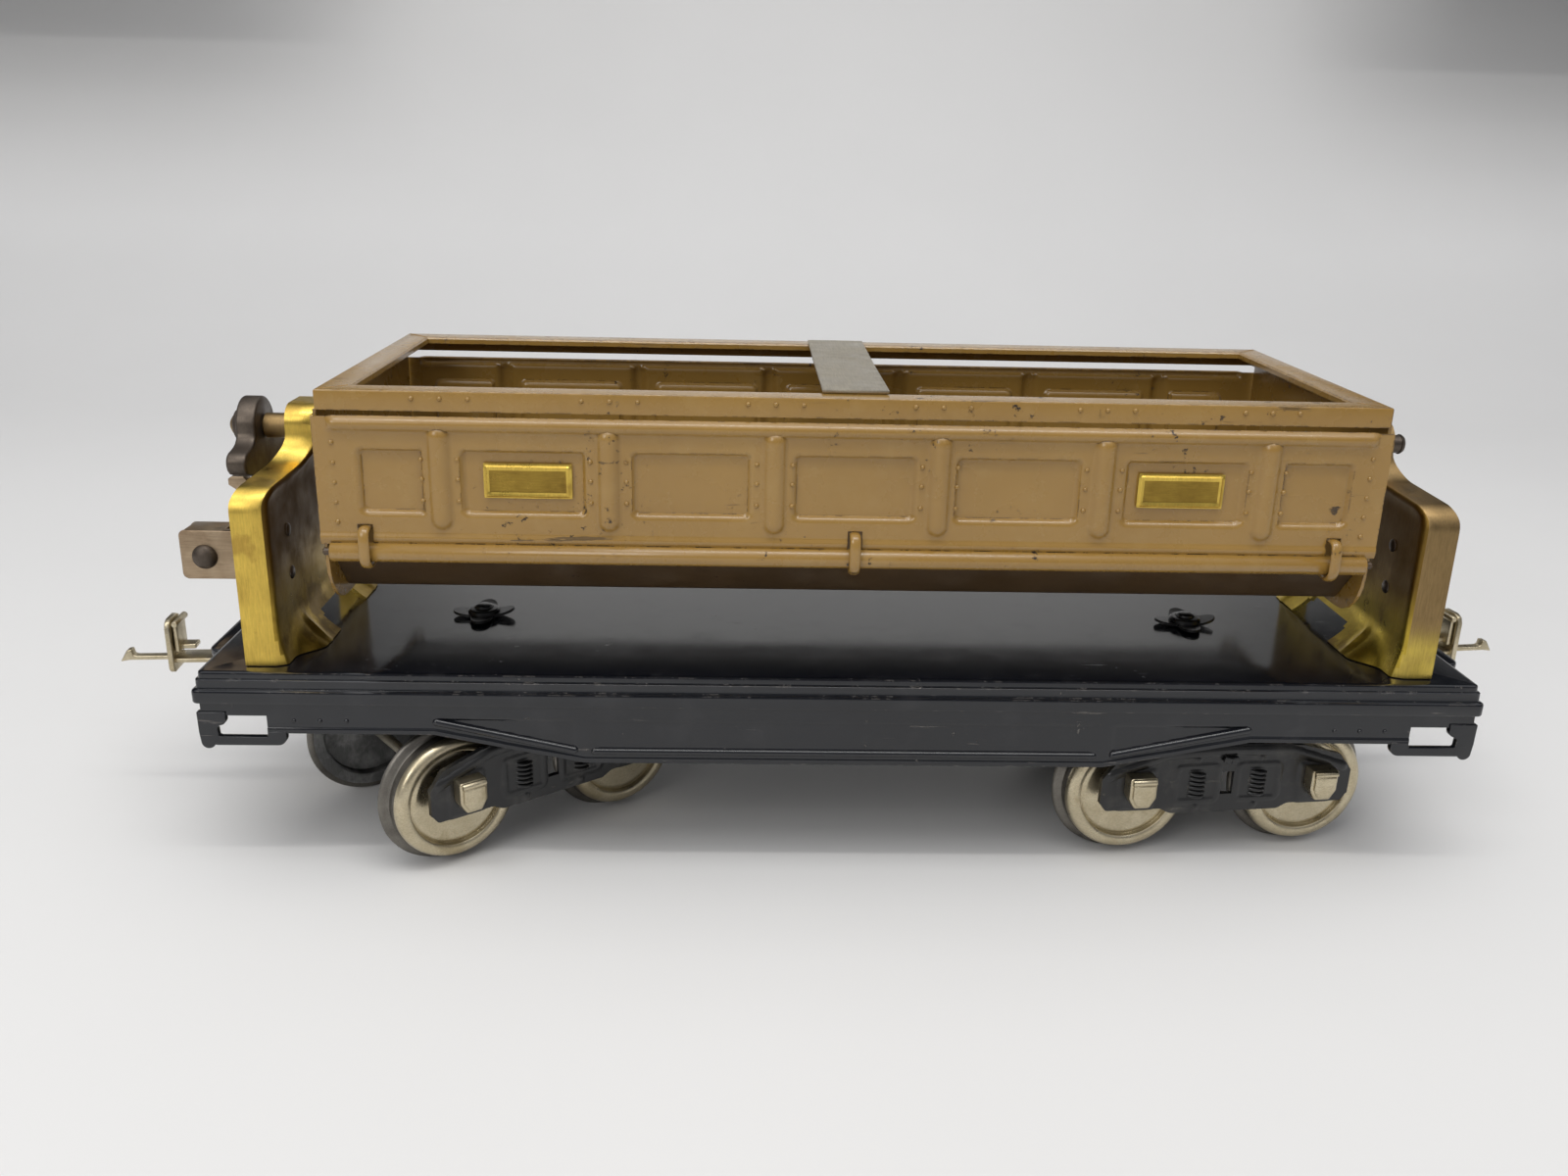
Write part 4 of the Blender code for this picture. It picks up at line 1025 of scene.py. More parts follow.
@dataclass
class Deck:
    """The pressed deck with its moulding, beaded skirts, corner steps and end sills."""

    shop: Workshop
    half_length: float = 157.3
    half_width: float = 42.0
    top: float = 53.4
    moulding_bottom: float = 45.6
    corner: float = 1.6
    skirt_y: float = 42.3
    skirt_sheet: float = 1.1
    end_bottom: float = 38.0
    middle_bottom: float = 30.8
    slope_from: float = 64.5
    slope_to: float = 101.0
    window: tuple[float, float, float] = (141.2, 153.2, 42.4)
    panel_top: float = 42.4
    sill_bottom: float = 43.5
    mouth: float = 30.0
    slope_bead: tuple[Flat, Flat] = ((100.3, 41.1), (66.9, 34.0))
    slope_bead_radius: float = 0.95
    middle_bead: Flat = (62.0, 33.7)
    middle_bead_radius: float = 0.85

    def rim(self) -> list[Flat]:
        """The deck's edge as (reach past the top plate, height), from the top down and back under."""
        return [
            (-14.0, self.top),
            (-1.1, self.top),
            (-0.5, self.top - 0.08),
            (-0.12, self.top - 0.3),
            (0.0, self.top - 0.65),
            (0.0, self.top - 1.6),
            (0.06, self.top - 1.8),
            (0.4, self.top - 1.9),
            (0.55, self.top - 2.05),
            (0.58, self.top - 2.4),
            (0.58, self.top - 4.0),
            (0.68, self.top - 4.25),
            (1.05, self.top - 4.4),
            (1.36, self.top - 4.6),
            (1.48, self.top - 4.95),
            (1.48, self.moulding_bottom + 0.4),
            (1.36, self.moulding_bottom + 0.1),
            (0.9, self.moulding_bottom),
        ]

    def loop(self, reach: float, height: float) -> list[Point]:
        """The deck's outline, this far out, with rounded corners."""
        half_x, half_y = self.half_length + reach, self.half_width + reach
        radius = max(self.corner + min(reach, 0.0), 0.3)
        points: list[Point] = []
        for sx, sy, start in ((1, 1, 0), (-1, 1, 90), (-1, -1, 180), (1, -1, 270)):
            center = (sx * (half_x - radius), sy * (half_y - radius))
            points += [(x, y, height) for x, y in arc(center, radius, start, start + 90, 5)]
        return points

    def pan(self) -> bpy.types.Mesh:
        """The top plate and its rim as one sheet."""
        bm = bmesh.new()
        rings = [[bm.verts.new(p) for p in self.loop(reach, height)] for reach, height in self.rim()]
        bm.faces.new(rings[0])
        for upper, lower in zip(rings, rings[1:]):
            for index in range(len(upper)):
                after = (index + 1) % len(upper)
                bm.faces.new((upper[index], lower[index], lower[after], upper[after]))
        bmesh.ops.recalc_face_normals(bm, faces=bm.faces)
        sheet = finished(bm, "pan")
        return outward(evaluated(sheet, ("SOLIDIFY", {"thickness": 0.9, "offset": -1.0})))

    def end_bulge(self, end: End) -> bpy.types.Mesh:
        """The low rounded bulge beyond one end."""
        reach = self.half_length + 3.4
        wide, corner = 26.0, 3.2
        outline = [(self.half_length - 3, -wide)]
        outline += arc((reach - corner, -wide + corner), corner, -90, 0, 8)
        outline += arc((reach - corner, wide - corner), corner, 0, 90, 8)
        outline.append((self.half_length - 3, wide))
        block = softened(prism(outline, self.top - 2.9, self.top - 0.6), 0.6)
        return block if end is End.RIGHT else placed(block, spin(180))

    def skirt_bottom(self, x: float) -> float:
        """The height of the skirt's lower edge at this x."""
        x = abs(x)
        if x <= self.slope_from:
            return self.middle_bottom
        share = min((x - self.slope_from) / (self.slope_to - self.slope_from), 1.0)
        return self.middle_bottom + (self.end_bottom - self.middle_bottom) * share

    def skirt_relief(self, x: float, z: float) -> float:
        """How far the skirt's hem stands out, or its panels are sunk, at this point."""
        x = abs(x)
        slope = 33.9 + (x - 66.4) * 0.2124
        inside = max(
            min(self.panel_top - z, x - 66.2, z - slope, 100.0 - x),
            min(self.panel_top - z, 62.3 - x, z - 33.7),
        )
        recess = -0.45 * smoothstep(0.0, 0.75, inside)
        hem = half_round(abs(z - self.skirt_bottom(x) - 0.5), 0.7, 0.3)
        return hem if hem > 0.02 else recess

    def skirt(self) -> bpy.types.Mesh:
        """The side skirt of the near side, corner steps and all."""
        x_low, x_high, z_high = self.window
        split = 44.0
        low = self.end_bottom
        up_to_split = lines(0.0, 1.0, 0.042, (z_high - low) / (split - low))
        vs = [*up_to_split, *(1.0 + step * 0.25 for step in range(1, 5))]
        kept = (x_low, x_high, self.slope_from, self.slope_to)
        half = lines(0.0, self.half_length - 0.4, 0.7, *kept)
        us = sorted({*half, *(-x for x in half)})

        def place(x: float, v: float) -> Point:
            bottom = self.skirt_bottom(x)
            z = bottom + (split - bottom) * v if v <= 1 else split + (v - 1) * 3.2
            return (x, -self.skirt_y - self.skirt_relief(x, z), z)

        def keep(x: float, v: float) -> bool:
            return not (x_low < abs(x) < x_high and low + (split - low) * v < z_high)

        return pressed_sheet(us, vs, place, self.skirt_sheet, keep)

    def step(self) -> bpy.types.Mesh:
        """The corner step at +x on the near side: a thin bar with a rounded inner end, on a thick post."""
        outline = [
            (136.7, 38.4), *arc((138.9, 36.9), 2.2, 180, 270, 6), (153.6, 34.65),
            *arc((155.7, 35.5), 1.75, 205, 345, 8), (157.7, 38.0), (157.8, 43.4), (150.9, 43.4),
            *arc((152.5, 41.5), 1.6, 165, 275, 6), (153.2, 39.3), (153.1, 37.2), (152.7, 36.95),
            (141.5, 36.95), (141.2, 37.2), (141.2, 38.4),
        ]
        return softened(prism(outline, -43.35, -41.5, "XZ"), 0.42)

    def steps(self) -> bpy.types.Mesh:
        """All four corner steps."""
        step = self.step()
        mirrored = [placed(step, Matrix.Diagonal((x, y, 1, 1))) for x in (-1, 1) for y in (-1, 1)]
        return joined(*(outward(mesh) for mesh in mirrored))

    def sill(self, end: End) -> bpy.types.Mesh:
        """The sill under one end, with the coupler's mouth in it."""
        half, top, mouth_top = self.half_width + 0.2, 47.3, self.moulding_bottom + 0.8
        outline = [
            (-half, self.sill_bottom), (-self.mouth, self.sill_bottom), (-self.mouth, mouth_top - 2),
            *arc((-self.mouth + 2, mouth_top - 2), 2, 180, 90, 5),
            *arc((self.mouth - 2, mouth_top - 2), 2, 90, 0, 5),
            (self.mouth, self.sill_bottom), (half, self.sill_bottom), (half, top), (-half, top),
        ]
        outer = self.half_length - 0.7
        plate = softened(prism(outline, outer - 1.1, outer, "YZ"), 0.3)
        return plate if end is End.RIGHT else placed(plate, spin(180))

    def skirt_beads(self) -> bpy.types.Mesh:
        """The round beads along the lower edges of the skirts' panels, with rounded ends."""
        black = self.shop.finishes[Coat.BLACK]
        slope, middle = self.slope_bead_radius, self.middle_bead_radius
        half, middle_z = self.middle_bead
        parts = []
        for side in (-1, 1):
            y = side * (self.skirt_y + 0.35)
            slopes = [[(end * x, y, z) for x, z in self.slope_bead] for end in (-1, 1)]
            bottom = [(-half, y, middle_z), (half, y, middle_z)]
            parts.append(self.shop.beads.along(slopes, slope, black))
            parts.append(self.shop.beads.along([bottom], middle, black))
            ends = [point for path in slopes for point in path]
            parts.append(self.shop.rivets.heads(ends, (0, side, 0), slope, slope, black))
            parts.append(self.shop.rivets.heads(bottom, (0, side, 0), middle, middle, black))
        return joined(*parts)

    def skirt_rivets(self) -> bpy.types.Mesh:
        """The small rivets at the skirts' ends."""
        black = self.shop.finishes[Coat.BLACK]
        sides = []
        for side in (-1, 1):
            face = side * (self.skirt_y + self.skirt_sheet / 2)
            points = [(end * x, face, 41.2) for end in (-1, 1) for x in (122.0, 128.4, 134.7)]
            sides.append(self.shop.rivets.heads(points, (0, side, 0), 0.55, 0.5, black))
        return joined(*sides)

    def build(self) -> None:
        """Builds every piece of the deck."""
        pan = joined(self.pan(), self.end_bulge(End.LEFT), self.end_bulge(End.RIGHT))
        give = self.shop.hand_over
        give("deck_pan", self.shop.dressed(pan, Coat.BLACK), "deck", Slot.BLACK, ["deck_frame"])
        near = self.skirt()
        for side, mesh in ((Side.NEAR, near), (Side.FAR, placed(near, spin(180)))):
            skirt = self.shop.dressed(mesh, Coat.BLACK)
            give(f"deck_skirt_{side.label}", skirt, "deck", Slot.BLACK, angle=50)
        sills = joined(self.sill(End.LEFT), self.sill(End.RIGHT))
        give("deck_end_sills", self.shop.dressed(sills, Coat.BLACK), "deck", Slot.BLACK)
        give("deck_steps", self.shop.dressed(self.steps(), Coat.BLACK), "deck", Slot.BLACK)
        rivets = self.shop.dressed(self.skirt_rivets(), Coat.BLACK)
        give("deck_rivets", rivets, "deck", Slot.BLACK)
        give("deck_beads", self.shop.dressed(self.skirt_beads(), Coat.BLACK), "deck", Slot.BLACK, angle=50)


@dataclass
class EndFrame:
    """A pressed brass end frame that carries one end of the bin."""

    shop: Workshop
    end: End
    coat: Coat
    # the darker brass for the web's faces towards the bin is painted shade, partly tarnish
    web_coat: Coat
    face_x: float = 138.0
    flange: float = 8.5
    sheet: float = 1.2
    bend: float = 1.6
    half_width: float = 38.4
    bottom: float = 53.7
    shoulder: float = 97.5
    shoulder_radius: float = 6.0
    neck: float = 9.0
    fillet: float = 7.5
    top: float = 111.8
    crown: float = 5.0
    joggle: float = 4.8
    foot_reach: float = 7.0
    foot_height: float = 10.0
    toe: float = 1.5
    gusset_height: float = 8.6
    gusset_y: float = 20.5
    arch: Flat = (12.4, 59.2)
    pivot_z: float = 105.0

    def half_outline(self) -> list[Flat]:
        """The +y half of the outline, from the deck to the top of the neck."""
        shoulder = (self.half_width - self.shoulder_radius, self.shoulder - self.shoulder_radius)
        fillet = (self.neck + self.fillet, self.shoulder + 0.8 + self.fillet)
        crown = (self.neck - self.crown, self.top - self.crown)
        points = [(self.half_width, self.bottom + step * 1.25) for step in range(30)]
        points = [p for p in points if p[1] < shoulder[1] - 0.5]
        points += arc(shoulder, self.shoulder_radius, 0, 90, 12)
        last = points[-1]
        first = arc(fillet, self.fillet, 270, 180, 10)
        for step in range(1, 8):
            share = step / 8
            y = last[0] + (first[0][0] - last[0]) * share
            z = last[1] + (first[0][1] - last[1]) * share
            points.append((y, z))
        points += first
        points += arc(crown, self.crown, 0, 90, 10)
        points += [(self.neck * 0.25, self.top), (0.0, self.top)]
        return points

    @staticmethod
    def inset(points: Sequence[Flat], distance: float) -> list[Flat]:
        """The outline moved inwards, square to its own direction."""
        found = []
        for index, (y, z) in enumerate(points):
            before = Vector(points[max(index - 1, 0)])
            after = Vector(points[min(index + 1, len(points) - 1)])
            along = (after - before).normalized()
            y_in = 0.0 if index == len(points) - 1 else max(y - along.y * distance, 0.0)
            found.append((y_in, z if index == 0 else z + along.x * distance))
        return found

    def offset(self, y: float, z: float) -> float:
        """How far the sheet is set towards the bin: at the neck, the foot's flare and its gussets."""
        rise = smoothstep(self.shoulder - 4, self.shoulder + 7, z)
        up = z - self.bottom
        low = max(1 - up / self.foot_height, 0.0)
        inward = self.half_width - abs(y)
        flare = self.toe * smoothstep(0.0, 1.6, inward)
        flare += (self.foot_reach - self.toe) * smoothstep(6.0, 14.5, inward)
        foot = low * low * flare
        gusset = min(self.gusset_height - up, self.gusset_height) * 0.9 - abs(abs(y) - self.gusset_y) * 1.3
        return self.joggle * rise + max(foot, gusset, 0.0)

    def in_arch(self, y: float, z: float) -> bool:
        """Whether this point lies in the arch between the two feet."""
        return y < self.arch[0] and z < self.arch[1] and (y < self.arch[0] - 1.3 or z < self.arch[1] - 1.3)

    def mesh(self) -> bpy.types.Mesh:
        """The whole frame as a sheet with its thickness."""
        outline = self.half_outline()
        rings = [
            (outline, self.flange),
            (outline, self.flange * 0.6),
            (outline, self.bend),
            (self.inset(outline, 0.12 * self.bend), 0.62 * self.bend),
            (self.inset(outline, 0.38 * self.bend), 0.26 * self.bend),
            (self.inset(outline, 0.7 * self.bend), 0.06 * self.bend),
            (self.inset(outline, self.bend), 0.0),
        ]
        shares = [1 - step / 30 for step in range(1, 31)]
        columns = [[(y, z, reach) for y, z in points] for points, reach in rings]
        columns += [[(y * share, z, 0.0) for y, z in rings[-1][0]] for share in shares]
        bm = bmesh.new()
        grid = []
        for column in columns:
            row = []
            for y, z, reach in column:
                row.append(bm.verts.new((self.face_x + reach - self.offset(y, z), y, z)))
            grid.append(row)
        for first, second in zip(grid, grid[1:]):
            for k in range(len(first) - 1):
                middle = (first[k].co + second[k + 1].co) / 2
                if not self.in_arch(middle.y, middle.z):
                    bm.faces.new((first[k], second[k], second[k + 1], first[k + 1]))
        loose = [vert for vert in bm.verts if not vert.link_faces]
        bmesh.ops.delete(bm, geom=loose, context="VERTS")
        bmesh.ops.remove_doubles(bm, verts=bm.verts, dist=0.01)
        bmesh.ops.recalc_face_normals(bm, faces=bm.faces)
        towards_bin = sum(face.normal.x * face.calc_area() for face in bm.faces) < 0
        half = finished(bm, "half_frame")
        offset = -1.0 if towards_bin else 1.0
        whole = evaluated(
            half,
            ("MIRROR", {"use_axis": (False, True, False), "merge_threshold": 0.01}),
            ("SOLIDIFY", {"thickness": self.sheet, "offset": offset, "use_even_offset": True}),
        )
        whole = outward(whole)
        # faces towards the bin take the second coat, a darker brass that paints the bin's shade on the web
        for face in whole.polygons:
            face.material_index = 1 if face.normal.x < -0.55 else 0
        return whole if self.end is End.RIGHT else placed(whole, spin(180))

    def fasteners(self) -> bpy.types.Mesh:
        """The rivet heads on the face towards the bin."""
        way = -self.end.value
        face = self.end.value * self.face_x
        points = [(face, y, z) for y in (-24.3, 24.3) for z in (73.2, 84.2)]
        return self.shop.rivets.heads(points, (way, 0, 0), 1.7, 0.5, self.shop.finishes[Coat.IRON])

    def build(self) -> None:
        """Builds the frame and its rivets."""
        label = self.end.label
        give, dressed = self.shop.hand_over, self.shop.dressed
        shell = dressed(self.mesh(), self.coat, self.web_coat)
        give(f"end_frame_shell_{label}", shell, "deck", Slot.BRASS, [f"end_frame_{label}"], angle=40)
        give(f"end_frame_rivets_{label}", dressed(self.fasteners(), Coat.IRON), "deck", Slot.IRON)


@dataclass
class TippingGear:
    """The handle, pivots, catch bracket and catch lever."""

    shop: Workshop
    pivot_z: float = 105.0
    handle: Flat = (-154.7, -149.7)
    bracket_x: Flat = (-173.6, -139.5)
    bracket_half: float = 4.5
    bracket_z: Flat = (64.4, 77.6)
    pin_x: float = -167.3
    pin_z: float = 70.5

    def handle_mesh(self) -> bpy.types.Mesh:
        """The cast handle: a domed hub that spreads into two tips."""
        half = [
            *arc((0, 0), 7.5, 90, 12, 12),
            (7.4, -0.6), (7.9, -1.9), (8.9, -2.8), (10.4, -3.4), (12.0, -3.8), (13.9, -4.1),
            (15.2, -4.7), (16.1, -5.8), (16.2, -7.2), (15.8, -8.6), (14.8, -9.6), (11.5, -10.8),
            (7.5, -11.9), (3.5, -12.6), (0.0, -12.8),
        ]
        outline = half + [(-y, z) for y, z in reversed(half[1:-1])]
        plate = softened(prism(outline, self.handle[0], self.handle[1], "YZ"), 0.7, 4)
        boss = turned([(0, 2.9), (2.2, 2.7), (3.8, 1.9), (4.5, 0.6), (4.6, -0.6), (0, -0.6)], 40)
        boss = placed(boss, shift(x=self.handle[0]) @ spin(-90, "Y"))
        return placed(joined(plate, boss), shift(z=self.pivot_z))

    def pivot(self, end: End) -> bpy.types.Mesh:
        """The pivot at one end, along X."""
        if end is End.LEFT:
            profile = [
                (0, 158.4), (1.3, 158.2), (2.4, 157.5), (2.9, 156.4), (2.9, 155.2), (2.2, 155.0),
                (2.2, 149.5), (2.9, 149.4), (3.2, 149.1), (3.2, 124.2), (2.7, 123.8), (2.2, 123.7),
                (2.2, 122.3), (3.0, 122.2), (2.6, 121.5), (0, 121.0),
            ]
        else:
            profile = [
                (0, 148.6), (1.4, 148.5), (2.2, 148.1), (2.6, 147.5), (2.65, 147.2), (2.4, 147.1),
                (2.4, 123.8), (2.2, 123.7), (2.2, 122.3), (3.0, 122.2), (2.6, 121.5), (0, 121.0),
            ]
        mesh = placed(turned(profile, 48), spin(90, "Y"))
        mesh = mesh if end is End.RIGHT else placed(mesh, spin(180))
        return placed(mesh, shift(z=self.pivot_z))

    def bracket_mesh(self) -> bpy.types.Mesh:
        """The folded channel outside the left frame, open below and at its end, slotted on top."""
        x0, x1 = self.bracket_x
        z0, z1 = self.bracket_z
        wide, sheet = self.bracket_half, 1.0
        cheek_outline = [
            (x0 + 1.5, z0), *arc((x0 + 1.5, z0 + 1.5), 1.5, 270, 180, 5),
            *arc((x0 + 1.5, z1 - 1.5), 1.5, 180, 90, 5), (x1, z1), (x1, z0),
        ]
        cheeks = []
        for side in (-1, 1):
            ys = sorted((side * wide, side * (wide - sheet)))
            cheeks.append(softened(prism(cheek_outline, ys[0], ys[1], "XZ"), 0.25))
        lids = [
            round_block((x0 + 1.2, -wide + 0.1, z1 - sheet), (-162.0, wide - 0.1, z1 + 0.02), 0.25),
            round_block((-154.6, -wide + 0.1, z1 - sheet), (x1, wide - 0.1, z1 + 0.02), 0.25),
            round_block((x1 - sheet, -wide + 0.1, z0), (x1, wide - 0.1, z1), 0.25),
        ]
        strips = []
        for side in (-1, 1):
            ys = sorted((side * 2.2, side * (wide - 0.1)))
            strips.append(cuboid((-162.6, ys[0], z1 - sheet), (-154.0, ys[1], z1)))
        return joined(*cheeks, *lids, *strips)

    def pin_mesh(self) -> bpy.types.Mesh:
        """The catch pin with its two domed heads."""
        head = self.bracket_half + 0.02
        angles = [math.radians(angle) for angle in range(0, 91, 10)]
        dome = [(3.3 * math.sin(angle), head + 2.0 * math.cos(angle)) for angle in angles]
        profile = [(0, dome[0][1]), *dome[1:], (1.5, head), (1.5, -head)]
        profile += [(r, -z) for r, z in reversed(dome[1:])] + [(0, -dome[0][1])]
        return placed(turned(profile, 48), shift(self.pin_x, 0, self.pin_z) @ spin(-90, "X"))

    def lever_mesh(self) -> bpy.types.Mesh:
        """The catch lever, from its eye up to its tip."""
        outline = [
            *arc((0, 0), 3.0, 90, 270, 14), (9.9, -3.0), *arc((9.9, -2.2), 0.8, 270, 360, 4),
            (10.7, 17.8), (11.9, 18.6), (11.9, 20.2), (11.1, 21.0), (7.9, 21.0), (7.1, 20.4),
            (7.1, 18.8), (8.9, 17.6), (8.9, 4.4), (7.6, 3.0),
        ]
        plate = softened(prism(outline, -1.6, 1.6, "XZ"), 0.35)
        return placed(plate, shift(self.pin_x, 0, self.pin_z))

    def build(self) -> None:
        """Builds every piece of the gear."""
        give, dressed = self.shop.hand_over, self.shop.dressed
        give("handle_casting", dressed(self.handle_mesh(), Coat.IRON), "bin", Slot.IRON, ["tipping_handle"])
        give("pivot_shaft_turned", dressed(self.pivot(End.LEFT), Coat.OLD_BRASS), "bin", Slot.BRASS,
             ["pivot_shaft_left"])
        give("pivot_pin_turned", dressed(self.pivot(End.RIGHT), Coat.IRON), "bin", Slot.IRON,
             ["pivot_pin_right"])
        give("catch_channel", dressed(self.bracket_mesh(), Coat.BRACKET), "deck", Slot.STEEL,
             ["catch_bracket"])
        give("catch_rivet", dressed(self.pin_mesh(), Coat.IRON), "deck", Slot.IRON, ["catch_pin"])
        give("catch_lever_bar", dressed(self.lever_mesh(), Coat.BRACKET), "catch_lever", Slot.NICKEL,
             ["catch_lever"])


@dataclass
class Bin:
    """The tipping bin without its doors: mouth rail, strap, ends and floor."""

    shop: Workshop
    half_length: float = 123.4
    sheet: float = 0.8
    rail_x: float = 122.4
    rail_y: float = 44.5
    rail_top: float = 122.8
    rail_height: float = 4.6
    flange: float = 7.0
    hinge_z: float = 85.1
    loops: tuple[float, ...] = (-113.0, 0.0, 113.0)
    floor_edge: Flat = (40.6, 84.2)
    floor_knee: Flat = (28.0, 72.6)

    def rail_mesh(self) -> bpy.types.Mesh:
        """The mitred angle rail round the mouth."""
        low = self.rail_top - self.rail_height
        profile = [
            (0.0, low), (0.0, self.rail_top - 0.5), (0.05, self.rail_top - 0.22), (0.2, self.rail_top - 0.05),
            (0.45, self.rail_top),
            (self.flange - 0.9, self.rail_top), (self.flange - 0.35, self.rail_top - 0.12),
            (self.flange - 0.05, self.rail_top - 0.5), (self.flange, self.rail_top - 1.7),
        ]
        bm = bmesh.new()
        rings = []
        for reach, height in profile:
            x, y = self.rail_x - reach, self.rail_y - reach
            corners = ((x, y), (-x, y), (-x, -y), (x, -y))
            rings.append([bm.verts.new((cx, cy, height)) for cx, cy in corners])
        for upper, lower in zip(rings, rings[1:]):
            for index in range(4):
                after = (index + 1) % 4
                bm.faces.new((upper[index], lower[index], lower[after], upper[after]))
        bmesh.ops.recalc_face_normals(bm, faces=bm.faces)
        sheet = finished(bm, "rail")
        return outward(evaluated(sheet, ("SOLIDIFY", {"thickness": self.sheet, "offset": -1.0})))

    def mitres(self) -> bpy.types.Mesh:
        """The raised soldered seams across the rail's corners."""
        paths = []
        for sx in (-1, 1):
            for sy in (-1, 1):
                outer = (sx * (self.rail_x - 0.7), sy * (self.rail_y - 0.7), self.rail_top - 0.14)
                inner = (
                    sx * (self.rail_x - self.flange + 0.9),
                    sy * (self.rail_y - self.flange + 0.9),
                    self.rail_top - 0.14,
                )
                paths.append((outer, inner))
        return self.shop.beads.along(paths, 0.24, self.shop.finishes[Coat.TAN])

    def rail_rivets(self) -> bpy.types.Mesh:
        """The groups of rivets along the rail's outer faces."""
        tan = self.shop.finishes[Coat.TAN]
        groups = []
        for side in (-1, 1):
            points = []
            for middle in (-94.5, -56.5, -19.0, 19.0, 56.5, 94.5):
                points += [(middle + step * 6.3, side * self.rail_y, 121.1) for step in (-1, 0, 1)]
            groups.append(self.shop.rivets.heads(points, (0, side, 0), 0.58, 0.5, tan))
        return joined(*groups)

    def strap_mesh(self) -> bpy.types.Mesh:
        """The worn steel strap across the mouth, dipped a little at its middle."""
        ys = lines(-39.2, 39.9, 1.5)
        xs = lines(-8.3, 7.1, 1.4)

        def place(x: float, y: float) -> Point:
            dip = 0.28 * math.cos(math.pi * y / 80) ** 2
            return (x, y, 123.45 - dip)

        return softened(pressed_sheet(xs, ys, place, 0.6), 0.12, 2, 60)

    def floor_mesh(self) -> bpy.types.Mesh:
        """The bent floor sheet."""
        edge, knee = self.floor_edge, self.floor_knee
        section = [(-edge[0], edge[1])]
        section += [(-knee[0] - 3 + s, knee[1] + (3 - s) ** 2 * 0.13) for s in (0, 1, 2, 3, 4)]
        section += [(y, knee[1]) for y in range(-22, 24, 4)]
        section += [(knee[0] + 3 - s, knee[1] + (3 - s) ** 2 * 0.13) for s in (4, 3, 2, 1, 0)]
        section += [(edge[0], edge[1])]
        half = self.half_length - self.sheet - 0.3
        xs = lines(-half, half, 6.0)

        def place(x: float, index: float) -> Point:
            y, z = section[int(index)]
            return (x, y, z - self.sheet / 2)

        return pressed_sheet(xs, list(range(len(section))), place, self.sheet)

    def loops_mesh(self) -> bpy.types.Mesh:
        """The hinge loops that come out through the doors and round their rolled edges."""
        bars = []
        for x in self.loops:
            z = self.hinge_z
            path = [(39.5, z - 2.6), (42.2, z - 3.1)]
            path += arc((44.6, z - 0.2), 3.15, 262, 360, 9)
            path += [(47.75, z + 2.4), (47.6, z + 4.2)]
            path += arc((45.9, z + 4.3), 1.6, 10, 100, 5)
            path += [(44.5, z + 5.9), (43.2, z + 5.6)]
            for side in (-1, 1):
                points = [(x, side * y, height) for y, height in path]
                bars.append(tube_along(points, 0.62, 2.05))
        return joined(*bars)

    def build(self) -> None:
        """Builds every piece of the bin but its doors."""
        give, dressed = self.shop.hand_over, self.shop.dressed
        rail = joined(self.rail_mesh(), self.mitres())
        give("mouth_rail", dressed(rail, Coat.TAN), "bin", Slot.TAN, ["bin_top_frame"])
        give("mouth_rail_rivets", dressed(self.rail_rivets(), Coat.TAN), "bin", Slot.TAN)
        give("mouth_strap", dressed(self.strap_mesh(), Coat.STRAP), "bin", Slot.STEEL, ["bin_cross_strap"])
        # the floor sheet takes the painted-shade tan, standing for the shade inside the bin
        give("floor_sheet", dressed(self.floor_mesh(), Coat.TAN_UNDER), "bin", Slot.TAN, ["bin_floor"])
        give("door_hinge_loops", dressed(self.loops_mesh(), Coat.TAN), "bin", Slot.TAN)
        for end in End:
            self.shop.repaint(f"bin_end_{end.label}", Coat.TAN)


